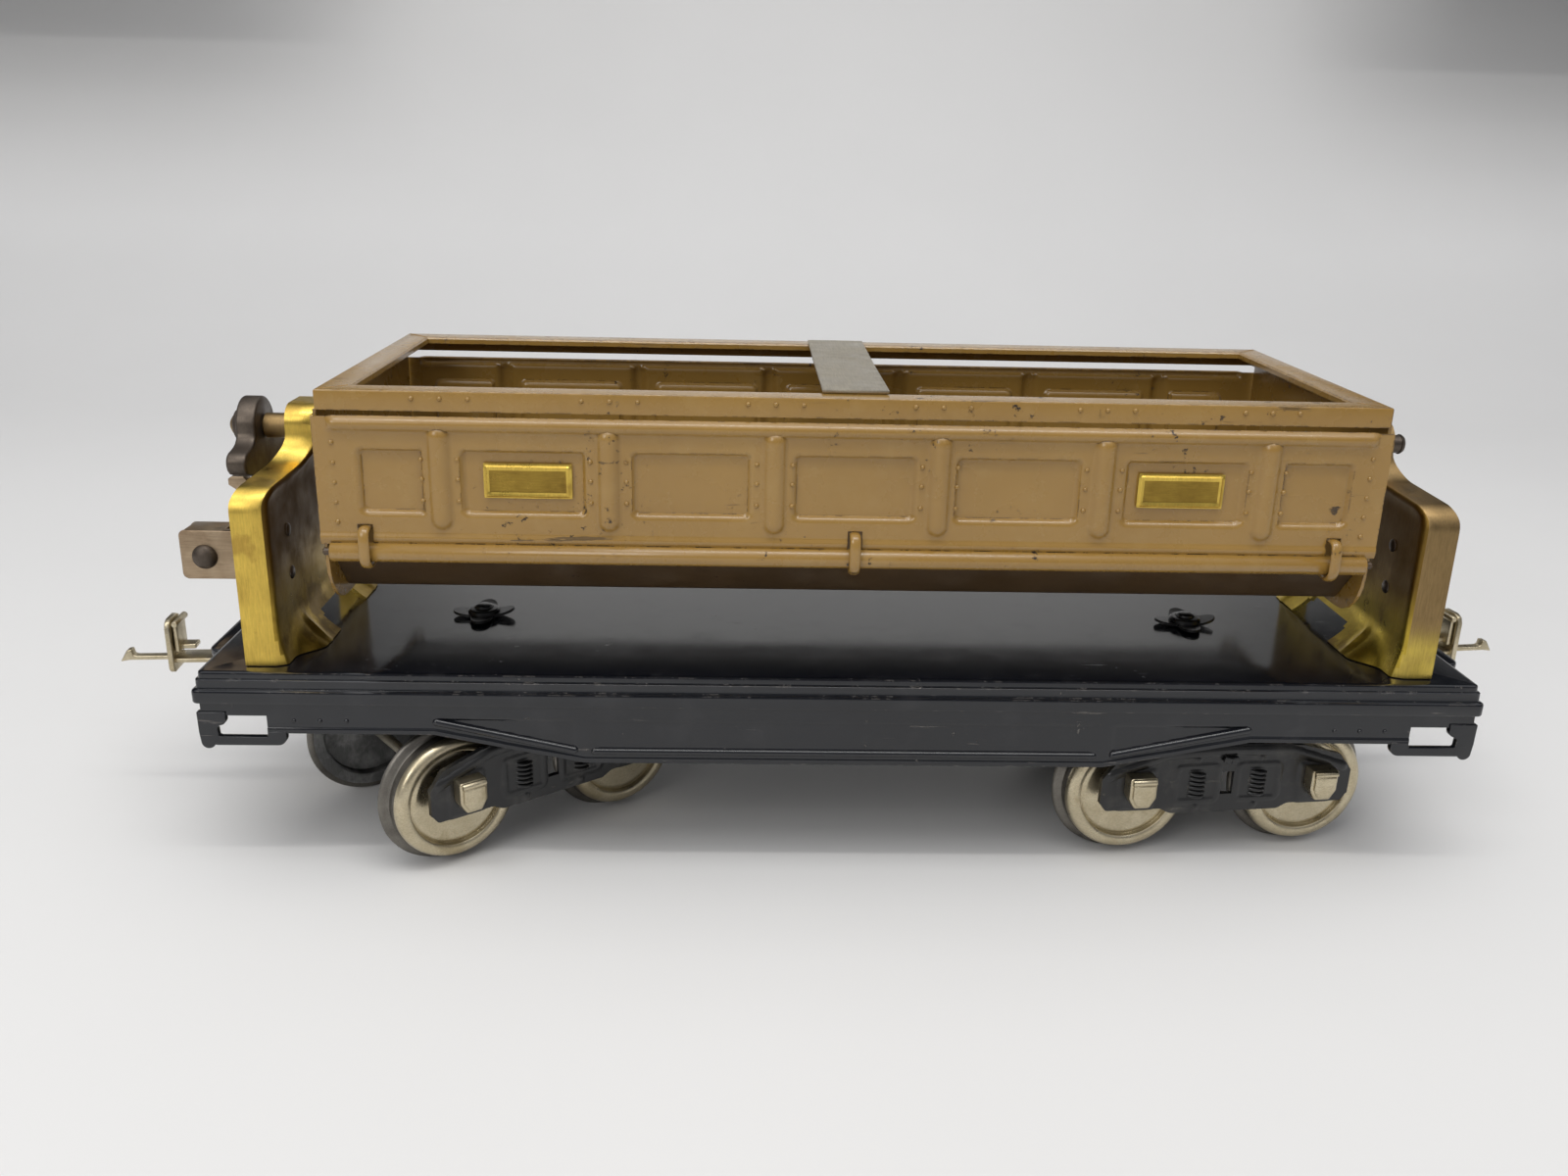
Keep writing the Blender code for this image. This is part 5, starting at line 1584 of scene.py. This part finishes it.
@dataclass
class SideDoor:
    """A side door: sunk panels, ribs, rolled edges, rivets, plates and hinge rod."""

    shop: Workshop
    side: Side
    y: float = 44.6
    half_length: float = 123.4
    hinge_z: float = 85.1
    top: float = 116.8
    sheet: float = 0.8
    roll: float = 2.35
    bore: float = 1.25
    roll_half: float = 121.4
    slot_half: float = 1.7
    slot_top: float = 91.8
    loops: tuple[float, ...] = (-113.0, 0.0, 113.0)
    panels: tuple[Flat, ...] = (
        (-113.9, -97.8), (-90.8, -61.9), (-51.9, -24.2),
        (-14.8, 13.9), (22.6, 51.8), (61.9, 90.8), (98.4, 115.4),
    )
    panel_z: Flat = (94.2, 109.9)
    ribs: tuple[float, ...] = (-95.3, -57.0, -19.0, 19.0, 57.0, 95.3)

    def relief(self, x: float, z: float) -> float:
        """How far the pressed sheet stands out at this point."""
        height = 0.0
        for low, high in self.panels:
            if low - 3 < x < high + 3:
                edge = in_round_rectangle(x, z, (low, self.panel_z[0]), (high, self.panel_z[1]), 1.6)
                height = min(height, -1.25 * (1 - smoothstep(-0.8, 0.1, edge)))
        for rib in self.ribs:
            if abs(x - rib) < 4:
                distance = to_segment(x, z, (rib, 93.4), (rib, 112.6))
                height = max(height, half_round(distance, 2.15, 1.75))
        if z > 112.5:
            crown = 1.0 if abs(x) < 119.0 else max(0.0, 1 - (abs(x) - 119.0) / 0.6)
            height = max(height, crown * half_round(abs(z - 115.3), 1.3, 1.35))
        if z < 90.5:
            height = max(height, half_round(abs(z - 88.6), 0.8, 0.45))
        return height

    def sheet_mesh(self) -> bpy.types.Mesh:
        """The door's pressed sheet, for the near side."""
        slots = [edge for loop in self.loops for edge in (loop - self.slot_half, loop + self.slot_half)]
        xs = lines(-self.half_length, self.half_length, 0.6, *slots)
        zs = lines(self.hinge_z + 1.9, self.top, 0.5, self.slot_top)

        def place(x: float, z: float) -> Point:
            return (x, -self.y - self.relief(x, z), z)

        def keep(x: float, z: float) -> bool:
            return z > self.slot_top or all(abs(x - loop) > self.slot_half for loop in self.loops)

        return pressed_sheet(xs, zs, place, self.sheet, keep)

    def roll_mesh(self) -> bpy.types.Mesh:
        """The rolled lower edge, a tube for the hinge rod."""
        half = self.roll_half
        profile = [
            (self.bore, half), (self.roll - 0.25, half), (self.roll, half - 0.25),
            (self.roll, -half + 0.25), (self.roll - 0.25, -half), (self.bore, -half),
        ]
        tube = placed(turned(profile, 36), spin(90, "Y"))
        return placed(tube, shift(y=-self.y, z=self.hinge_z))

    def rivet_mesh(self) -> bpy.types.Mesh:
        """The rivets down the door's ends and beside its ribs, for the near side."""
        face = -self.y - self.sheet / 2
        points = []
        for end in (-1, 1):
            points += [(end * 119.2, face, 110.9 - step * 4.65) for step in range(5)]
        for rib in self.ribs:
            points += [(rib + step, face, z) for step in (-4.1, 4.1) for z in (107.3, 102.7, 97.6)]
        return self.shop.rivets.heads(points, (0, -1, 0), 0.58, 0.5, self.shop.finishes[Coat.TAN])

    def rod_mesh(self) -> bpy.types.Mesh:
        """The hinge rod with its slightly peened ends."""
        half = self.half_length - 0.1
        profile = [(0, half), (0.6, half - 0.05), (0.95, half - 0.4)]
        profile += [(radius, -x) for radius, x in reversed(profile)]
        rod = placed(turned(profile, 24), spin(90, "Y"))
        return placed(rod, shift(y=-self.y, z=self.hinge_z))

    def turned_to_side(self, mesh: bpy.types.Mesh) -> bpy.types.Mesh:
        """A near side's mesh, turned to the far side if this door is there."""
        return mesh if self.side is Side.NEAR else placed(mesh, spin(180))

    def build(self) -> None:
        """Builds the door, its rod and its plates."""
        label = self.side.label
        body = f"door_{label}"
        give, dressed = self.shop.hand_over, self.shop.dressed
        door = self.turned_to_side(joined(self.sheet_mesh(), self.roll_mesh()))
        give(f"door_pressing_{label}", dressed(door, Coat.TAN), body, Slot.TAN, [f"door_{label}"], angle=50)
        rivets = self.turned_to_side(self.rivet_mesh())
        give(f"door_rivets_{label}", dressed(rivets, Coat.TAN), body, Slot.TAN)
        rod = self.turned_to_side(self.rod_mesh())
        # the hinge rod takes the painted-shade tan, standing for the shade round its ends
        give(f"hinge_wire_{label}", dressed(rod, Coat.TAN_UNDER), body, Slot.TAN, [f"hinge_rod_{label}"])
        for end in End:
            NamePlate(self.shop, self.side, end).build(body)


@dataclass
class NamePlate:
    """A blank brass plate: a raised border round a dull field."""

    shop: Workshop
    side: Side
    end: End
    x: float = 75.4
    z: float = 102.4
    half_x: float = 10.0
    half_z: float = 3.95
    back: float = 44.35
    thickness: float = 0.45
    border: float = 0.55

    def mesh(self) -> bpy.types.Mesh:
        """The plate about its own middle, for the near side, with its field tagged for the second coat."""
        xs = lines(-self.half_x, self.half_x, 0.4)
        zs = lines(-self.half_z, self.half_z, 0.33)

        def place(x: float, z: float) -> Point:
            edge = in_round_rectangle(x, z, (-self.half_x, -self.half_z), (self.half_x, self.half_z), 0.7)
            raised = smoothstep(-0.35, 0.0, edge + 0.25) * -0.16
            ridge = half_round(abs(edge + self.border + 0.25), 0.42, 0.26)
            return (x, -raised - ridge, z)

        mesh = pressed_sheet(xs, zs, place, self.thickness)
        for face in mesh.polygons:
            x, _, z = face.center
            inside = abs(x) < self.half_x - self.border - 0.7 and abs(z) < self.half_z - self.border - 0.7
            face.material_index = 1 if inside else 0
        return mesh

    def build(self, body: str) -> None:
        """Builds the plate on its door."""
        place = shift(self.end.value * self.x, -self.back - self.thickness / 2, self.z)
        mesh = placed(self.mesh(), place)
        if self.side is Side.FAR:
            mesh = placed(mesh, Matrix.Diagonal((1, -1, 1, 1)))
            mesh = outward(mesh)
        name = f"{self.side.label}_{self.end.label}"
        dressed = self.shop.dressed(mesh, Coat.BRASS, Coat.PLATE)
        self.shop.hand_over(f"border_plate_{name}", dressed, body, Slot.BRASS, [f"name_plate_{name}"])


@dataclass
class Truck:
    """A four-wheel truck: pressed side frames, journal boxes, wheels, axles and bolster."""

    shop: Workshop
    end: End
    wheelbase: float = 49.0
    axle_z: float = 18.5
    frame_y: float = 33.8
    frame_sheet: float = 1.5
    journal_z: float = 22.9
    lift: float = 1.0

    @property
    def body(self) -> str:
        """The body that the truck's pieces ride on."""
        return f"truck_{self.end.label}"

    def joint(self, name: str) -> dict:
        """A joint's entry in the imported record."""
        joints = frame["record"]["behaviour"]["joints"]
        return next(entry for entry in joints if entry["name"] == name)

    def stance(self) -> Matrix:
        """The truck's place and turn at rest."""
        swivel = self.joint(f"truck_{self.end.label}_swivel")["pos_m"]
        axle = self.joint(f"wheel_{self.end.label}_outer_near_spin")["axis"]
        turn = math.atan2(-axle[0], axle[1])
        return Matrix.Translation((swivel[0] / MM, swivel[1] / MM, 0)) @ Matrix.Rotation(turn, 4, "Z")

    def frame_relief(self, x: float, z: float) -> float:
        """How far the side frame's pressed detail stands out at this point."""
        x, z = abs(x), z - self.lift
        arch = (((0.0, 30.9), (17.0, 30.2)), ((17.0, 30.2), (31.5, 25.0)))
        relief = max(half_round(to_segment(x, z, a, b), 1.0, 0.7) for a, b in arch)
        panel = in_round_rectangle(x, z, (2.6, 16.8), (14.0, 26.6), 1.2)
        relief = max(relief, half_round(abs(panel), 0.6, 0.35))
        relief -= 0.5 * (1 - smoothstep(-1.2, -0.4, panel))
        dots = min(math.hypot(x - 8.6, z - 28.7), math.hypot(x - 8.0, z - 15.2))
        relief = max(relief, half_round(dots, 0.7, 0.5))
        guide = in_round_rectangle(x, z, (self.wheelbase / 2 - 5, 15.4), (self.wheelbase / 2 + 5, 26.6), 1.0)
        return max(relief, 0.4 * (1 - smoothstep(-0.8, 0.3, guide)))

    def frame_bottom(self, x: float) -> float:
        """The height of the side frame's lower edge at this x."""
        x = abs(x)
        return self.lift + 13.6 + 1.5 * smoothstep(14.2, 18.0, x) + 2.2 * smoothstep(31.5, 34.0, x) ** 2

    def frame_top(self, x: float) -> float:
        """The height of the side frame's upper edge at this x."""
        x = abs(x)
        if x < 20:
            return self.lift + 32.4 - 0.9 * x / 20
        if x < 30.5:
            return self.lift + 31.5 - 3.0 * (x - 20) / 10.5
        return self.lift + 28.5 - 4.5 * min((x - 30.5) / 3.5, 1.0)

    def side_frame(self) -> bpy.types.Mesh:
        """The near side frame, pressed from sheet, with the slot at its middle."""
        xs = lines(-34.0, 34.0, 0.5, -1.7, 1.7)
        vs = lines(0.0, 1.0, 0.028, 0.262, 0.604)

        def place(x: float, v: float) -> Point:
            low, high = self.frame_bottom(x), self.frame_top(x)
            z = low + (high - low) * v
            return (x, -self.frame_y - self.frame_sheet / 2 - self.frame_relief(x, z), z)

        def keep(x: float, v: float) -> bool:
            return not (abs(x) < 1.7 and 0.262 < v < 0.604)

        return pressed_sheet(xs, vs, place, self.frame_sheet, keep)

    def springs(self) -> bpy.types.Mesh:
        """The coil springs on the near side frame, one each side of the slot."""
        face = -self.frame_y - self.frame_sheet + 1.75
        points = [(x, face, 18.0 + self.lift) for x in (-8.3, 8.3)]
        return self.shop.coils.springs(points, 2.5, 0.5, 7.4, 6.0, self.shop.finishes[Coat.TRUCK])

    def tab(self) -> bpy.types.Mesh:
        """The twisted tab that comes out through the near side frame over the slot."""
        face = -self.frame_y - self.frame_sheet
        halves = [
            placed(round_block((-2.1, -0.5, -0.9), (0.1, 0.45, 0.9), 0.4), spin(16, "Y")),
            placed(round_block((-0.1, -0.5, -0.9), (2.1, 0.45, 0.9), 0.4), spin(-14, "Y")),
        ]
        return placed(joined(*halves), shift(y=face - 0.7, z=28.3 + self.lift))

    def journal(self) -> bpy.types.Mesh:
        """A journal box for the near side, with its hinged lid."""
        face = -self.frame_y - self.frame_sheet - 0.3
        body = [(-3.6, 4.2), (-3.6, -1.5), (-2.0, -4.2), (2.0, -4.2), (3.6, -1.5), (3.6, 4.2)]
        lid = [(-2.9, 2.6), (-2.9, -1.2), (-1.6, -3.4), (1.6, -3.4), (2.9, -1.2), (2.9, 2.6)]
        block = softened(prism(body, face - 4.2, face, "XZ"), 0.55, 4)
        cover = softened(prism(lid, face - 4.95, face - 4.0, "XZ"), 0.4, 3)
        profile = [(0, 3.2), (0.8, 3.1), (0.9, 2.8), (0.9, -2.8), (0.8, -3.1), (0, -3.2)]
        hinge = placed(placed(turned(profile, 24), spin(90, "Y")), shift(y=face - 4.2, z=3.2))
        return placed(joined(block, cover, hinge), shift(z=self.journal_z))

    def wheel(self) -> bpy.types.Mesh:
        """A wheel about its axle along Z, outer face up, with coats of their own on its tread and back."""
        profile: list[tuple[float, float, int]] = [
            (1.7, 6.8, 0), (3.1, 6.9, 0), (3.4, 6.8, 0), (3.6, 6.45, 0), (4.3, 6.35, 0), (10.9, 6.55, 0),
            (11.8, 6.5, 0), (12.15, 6.25, 0), (12.4, 6.2, 0),
            (12.6, 6.45, 0), (12.75, 7.2, 0), (13.1, 7.5, 0),
            (14.0, 7.62, 0), (14.9, 7.45, 0), (15.7, 6.95, 0), (16.1, 6.2, 0),
            (16.25, 5.2, 1), (16.3, 3.2, 1),
            (16.25, 2.6, 1), (16.5, 2.3, 1), (17.1, 2.1, 1), (17.9, 1.9, 1), (18.3, 1.6, 1), (18.5, 1.0, 1),
            (18.3, 0.4, 1), (17.8, 0.05, 1), (17.0, 0.0, 2), (14.2, 0.0, 2), (13.7, 0.4, 2),
            (13.4, 1.8, 2), (4.0, 2.0, 2), (3.4, 1.6, 2), (3.2, 0.5, 2), (1.7, 0.4, 2),
        ]
        points = [(radius, height) for radius, height, _ in profile]
        tags = [tag for _, _, tag in profile]
        return turned(points, 72, tags)

    def axle(self) -> bpy.types.Mesh:
        """An axle along Y."""
        half = 35.2
        profile = [(0, half), (1.1, half), (1.4, half - 0.3), (1.4, 0.3 - half), (1.1, -half), (0, -half)]
        return placed(turned(profile, 32), spin(-90, "X"))

    def build(self) -> None:
        """Builds the truck's pieces, at their places for the rest turn."""
        give, dressed = self.shop.hand_over, self.shop.dressed
        stance, label = self.stance(), self.end.label
        frame_mesh, spring_mesh, tab_mesh = self.side_frame(), self.springs(), self.tab()
        journal, wheel, axle = self.journal(), self.wheel(), self.axle()
        for side in Side:
            flip = spin(0 if side is Side.NEAR else 180)
            name = f"{label}_{side.label}"
            mesh = placed(joined(frame_mesh, spring_mesh, tab_mesh), stance @ flip)
            give(f"truck_side_{name}", dressed(mesh, Coat.TRUCK), self.body, Slot.TRUCK,
                 [f"side_frame_{name}"], angle=50)
        for step, position in ((-1, "outer"), (1, "inner")):
            x = -self.end.value * step * self.wheelbase / 2
            mesh = placed(axle, stance @ shift(x, 0, self.axle_z))
            give(f"axle_rod_{label}_{position}", dressed(mesh, Coat.STRAP), self.body, Slot.STEEL,
                 [f"axle_{label}_{position}"])
            for side in Side:
                name = f"{label}_{position}_{side.label}"
                flip = spin(0 if side is Side.NEAR else 180)
                mesh = placed(journal, stance @ shift(x) @ flip)
                give(f"journal_casting_{name}", dressed(mesh, Coat.NICKEL), self.body, Slot.NICKEL,
                     [f"journal_box_{name}"])
                out = side.value
                face = stance @ shift(x, out * 23.0, self.axle_z) @ spin(-90 * out, "X")
                mesh = dressed(placed(wheel, face), Coat.NICKEL, Coat.TREAD, Coat.WHEEL_BACK)
                give(f"wheel_casting_{name}", mesh, f"wheel_{name}", Slot.NICKEL, [f"wheel_{name}"])
        self.shop.repaint(f"bolster_{label}", Coat.TRUCK)


@dataclass
class TruckClip:
    """The twisted spring clip over a king pin, and the pin."""

    shop: Workshop
    end: End
    x: float = 96.0
    deck_top: float = 53.4

    def clip(self) -> bpy.types.Mesh:
        """The cross-shaped clip with its turned-up wings."""
        low = self.deck_top + 0.3

        def wing(half: float, wide: float, lift: float) -> bpy.types.Mesh:
            xs = lines(-half, half, 0.5)
            ys = lines(-wide, wide, 0.5)

            def place(x: float, y: float) -> Point:
                narrow = math.sqrt(max(1 - (abs(x) / half) ** 4, 0.02))
                return (x, y * narrow, low + 0.45 + lift * (x / half) ** 2 * (1.4 if x > 0 else 0.6))

            return pressed_sheet(xs, ys, place, 0.7)

        collar = turned([(2.6, 1.9), (3.7, 1.8), (4.1, 1.4), (4.3, 0.2), (4.3, -0.2), (2.6, -0.2)], 40)
        collar = placed(collar, shift(z=low + 0.3))
        across = placed(wing(8.6, 2.9, 0.5), spin(90))
        return placed(joined(wing(8.2, 3.0, 1.1), across, collar), shift(x=self.end.value * self.x))

    def pin(self) -> bpy.types.Mesh:
        """The king pin."""
        top = 56.8
        profile = [
            (0, top), (1.6, top - 0.05), (2.2, top - 0.35), (2.4, top - 0.9), (2.4, 32.9), (4.2, 32.9),
            (4.0, 31.8), (2.6, 31.4), (0, 31.3),
        ]
        return placed(turned(profile, 40), shift(x=self.end.value * self.x))

    def build(self) -> None:
        """Builds the clip and the pin."""
        give, dressed, label = self.shop.hand_over, self.shop.dressed, self.end.label
        give(f"clip_spring_{label}", dressed(self.clip(), Coat.TRUCK), "deck", Slot.TRUCK,
             [f"truck_clip_{label}"])
        give(f"king_pin_turned_{label}", dressed(self.pin(), Coat.TRUCK), "deck", Slot.TRUCK,
             [f"king_pin_{label}"])


@dataclass
class Coupler:
    """A latch coupler: eye, shank, head plate, hooked prong and latch."""

    shop: Workshop
    end: End
    head_x: float = 81.0
    arm_z: float = 42.2
    arm_thick: float = 1.2
    arm_half: float = 3.5
    head_half: float = 4.5
    head_z: Flat = (39.6, 54.4)
    slot_z: Flat = (46.0, 52.4)
    prong: float = 12.0

    def stance(self) -> Matrix:
        """The coupler's place and turn at rest, read from its joints."""
        joints = {entry["name"]: entry for entry in frame["record"]["behaviour"]["joints"]}
        pin = joints[f"coupler_{self.end.label}_swing"]["pos_m"]
        axis = joints[f"coupler_latch_{self.end.label}_lift"]["axis"]
        turn = math.atan2(-axis[0], axis[1])
        return Matrix.Translation((pin[0] / MM, pin[1] / MM, 0)) @ Matrix.Rotation(turn, 4, "Z")

    def arm(self) -> bpy.types.Mesh:
        """The arm along +x from its eye."""
        low, high = self.arm_z, self.arm_z + self.arm_thick
        outline = [(self.head_x + 0.4, -self.arm_half), (self.head_x + 0.4, self.arm_half)]
        outline += [(18.0, self.arm_half), (8.0, 5.0)]
        outline += arc((0, 0), 6.0, 60, 300, 24)
        outline += [(8.0, -5.0), (18.0, -self.arm_half)]
        shank = softened(prism(outline, low, high), 0.3)
        edge = self.head_half
        top, bottom = self.head_z[1], self.head_z[0]
        plate_outline = [
            (-edge, bottom + 1), (-edge + 1, bottom), (edge - 1, bottom), (edge, bottom + 1),
            (edge, top - 2.4), (edge - 0.7, top - 0.7), (edge - 2.4, top),
            (-edge + 2.4, top), (-edge + 0.7, top - 0.7), (-edge, top - 2.4),
        ]
        head = softened(prism(plate_outline, self.head_x, self.head_x + 1.5, "YZ"), 0.35)
        boss_half = 2.0
        boss = round_block(
            (self.head_x + 1.3, -boss_half, self.slot_z[0]),
            (self.head_x + 2.0, boss_half, self.slot_z[1]),
            0.3,
        )
        tip = self.head_x + self.prong
        hook = [
            (self.head_x + 1.0, low + 0.1), (tip + 0.4, low + 0.1),
            (tip + 2.8, low - 0.3), (tip + 2.3, low + 0.5),
            (tip + 0.9, low + 2.9), (tip - 0.3, low + 3.0), (tip - 0.6, high + 0.3), (tip - 1.4, high),
            (self.head_x + 1.0, high),
        ]
        prong = softened(prism(hook, -1.3, 1.3, "XZ"), 0.28)
        return joined(shank, head, boss, prong)

    def latch(self) -> bpy.types.Mesh:
        """The latch that hangs behind the head plate."""
        x, z = self.head_x - 0.3, 53.2
        bar = round_block((x - 1.2, -3.4, z - 8.0), (x, 3.4, z + 0.5), 0.35)
        tab = round_block((x - 5.0, -2.0, z - 7.6), (x - 0.6, 2.0, z - 6.3), 0.4)
        profile = [(0, 4.4), (0.7, 4.3), (0.9, 4.0), (0.9, -4.0), (0.7, -4.3), (0, -4.4)]
        pin = placed(turned(profile, 24), spin(-90, "X"))
        return joined(bar, tab, placed(pin, shift(x - 0.9, 0, z)))

    def build(self) -> None:
        """Builds the arm and its latch."""
        give, dressed, label = self.shop.hand_over, self.shop.dressed, self.end.label
        stance = self.stance()
        give(f"coupler_bar_{label}", dressed(placed(self.arm(), stance), Coat.NICKEL), f"coupler_{label}",
             Slot.NICKEL, [f"coupler_arm_{label}"])
        give(f"coupler_catch_{label}", dressed(placed(self.latch(), stance), Coat.NICKEL),
             f"coupler_latch_{label}", Slot.NICKEL, [f"coupler_latch_{label}"])


# Studio


@dataclass
class Studio:
    """The pale sweep, the soft lights and the camera."""

    shop: Workshop
    camera_at: Point = (-26.16, -342.09, 178.22)
    yaw: float = 1.91
    pitch: float = 18.69
    roll: float = 1.37
    lens: float = 30.55

    def camera(self) -> None:
        """Places the camera and makes it the scene's own."""
        data = bpy.data.cameras.new("camera")
        data.lens = self.lens
        data.sensor_width = 36.0
        data.clip_start = 0.01
        data.clip_end = 20.0
        yaw, pitch, roll = (math.radians(a) for a in (self.yaw, self.pitch, self.roll))
        forward = Vector((math.sin(yaw) * math.cos(pitch), math.cos(yaw) * math.cos(pitch), -math.sin(pitch)))
        right = Vector((math.cos(yaw), -math.sin(yaw), 0))
        up = right.cross(forward)
        across = right * math.cos(roll) + up * math.sin(roll)
        upward = up * math.cos(roll) - right * math.sin(roll)
        turn = Matrix((across, upward, -forward)).transposed().to_4x4()
        camera = bpy.data.objects.new("camera", data)
        camera.matrix_world = Matrix.Translation(Vector(self.camera_at) * MM) @ turn
        bpy.context.scene.collection.objects.link(camera)
        bpy.context.scene.camera = camera

    def sweep(self) -> None:
        """The floor that curves up into the backdrop."""
        path = [(-2.5, 0.0), (-1.0, 0.0), (0.0, 0.0), (0.55, 0.0)]
        path += [(0.55 + y, 0.6 + z) for y, z in arc((0, 0), 0.6, 270, 350, 20)]
        path += [(1.3, 2.6)]
        bm = bmesh.new()
        rows = [[bm.verts.new((x, y, z)) for y, z in path] for x in (-3.0, 3.0)]
        for index in range(len(path) - 1):
            bm.faces.new((rows[0][index], rows[1][index], rows[1][index + 1], rows[0][index + 1]))
        mesh = finished(bm, "sweep")
        mesh.shade_smooth()
        mesh.materials.append(self.shop.finishes[Coat.PAPER])
        floor = bpy.data.objects.new("sweep", mesh)
        bpy.context.scene.collection.objects.link(floor)

    def flag(self, name: str, reach: Flat) -> None:
        """A black card high on the backdrop, so that an end of the deck mirrors something dark."""
        mesh = cuboid((reach[0], 0.86, 0.36), (reach[1], 0.88, 1.5))
        mesh.materials.append(self.shop.finishes[Coat.TRUCK])
        card = bpy.data.objects.new(name, mesh)
        bpy.context.scene.collection.objects.link(card)

    def lamp(self, name: str, place: Point, aim: Point, size: Flat, watts: float, tint: Color) -> None:
        """A rectangular soft light.

        Args:
            name: The light's name.
            place: Where it stands, in metres.
            aim: The point that it faces.
            size: Its width and height in metres.
            watts: Its power.
            tint: Its colour.
        """
        data = bpy.data.lights.new(name, "AREA")
        data.shape = "RECTANGLE"
        data.size, data.size_y = size
        data.energy = watts
        data.color = tint
        light = bpy.data.objects.new(name, data)
        direction = Vector(aim) - Vector(place)
        light.rotation_euler = direction.to_track_quat("-Z", "Y").to_euler()
        light.location = place
        bpy.context.scene.collection.objects.link(light)

    def sky(self) -> None:
        """The room round the car: bright above, dim at the height of the eye."""
        world = bpy.data.worlds.new("room")
        world.use_nodes = True
        tree = world.node_tree
        background = tree.nodes["Background"]
        coords = tree.nodes.new("ShaderNodeTexCoord")
        split = tree.nodes.new("ShaderNodeSeparateXYZ")
        rise = tree.nodes.new("ShaderNodeValToRGB")
        stops = rise.color_ramp.elements
        stops[0].position, stops[0].color = 0.0, (0.12, 0.12, 0.125, 1)
        stops[1].position, stops[1].color = 0.85, (0.78, 0.79, 0.82, 1)
        middle = stops.new(0.35)
        middle.color = (0.3, 0.3, 0.31, 1)
        tree.links.new(coords.outputs["Generated"], split.inputs[0])
        tree.links.new(split.outputs["Z"], rise.inputs[0])
        tree.links.new(rise.outputs["Color"], background.inputs["Color"])
        background.inputs["Strength"].default_value = 1.0
        bpy.context.scene.world = world

    def build(self) -> None:
        """Sets up the sweep, lights, world and camera."""
        self.camera()
        self.sweep()
        self.sky()
        bpy.context.scene.view_settings.view_transform = "Standard"
        self.lamp("overhead", (0.0, -0.55, 1.35), (0, -0.1, 0.05), (1.5, 0.9), 6.2, (1.0, 0.99, 0.97))
        self.lamp("tube", (0.0, -0.4, 1.1), (0, 0, 0.06), (1.1, 0.06), 2.6, (1.0, 0.99, 0.97))
        self.lamp("front_left", (-0.8, -1.1, 0.8), (0, -0.1, 0.03), (0.6, 0.6), 4.6, (1.0, 0.99, 0.97))
        self.flag("flag_left", (-1.7, -0.4))
        self.flag("flag_right", (0.52, 1.7))
        self.lamp("back_wash", (0.0, 0.15, 1.5), (0, 0.9, 0.2), (1.6, 0.6), 2.6, (1.0, 0.99, 0.98))
        LOG.info("studio ready")


def main() -> None:
    """Builds the car, piece by piece, in its studio."""
    shop = Workshop(all_finishes())
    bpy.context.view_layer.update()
    Deck(shop).build()
    EndFrame(shop, End.LEFT, Coat.BRASS, Coat.WEB).build()
    EndFrame(shop, End.RIGHT, Coat.OLD_BRASS, Coat.OLD_WEB).build()
    TippingGear(shop).build()
    Bin(shop).build()
    SideDoor(shop, Side.NEAR).build()
    SideDoor(shop, Side.FAR, top=116.0).build()
    for end in End:
        Truck(shop, end).build()
        TruckClip(shop, end).build()
        Coupler(shop, end).build()
    Studio(shop).build()


if __name__ == "__main__":
    main()
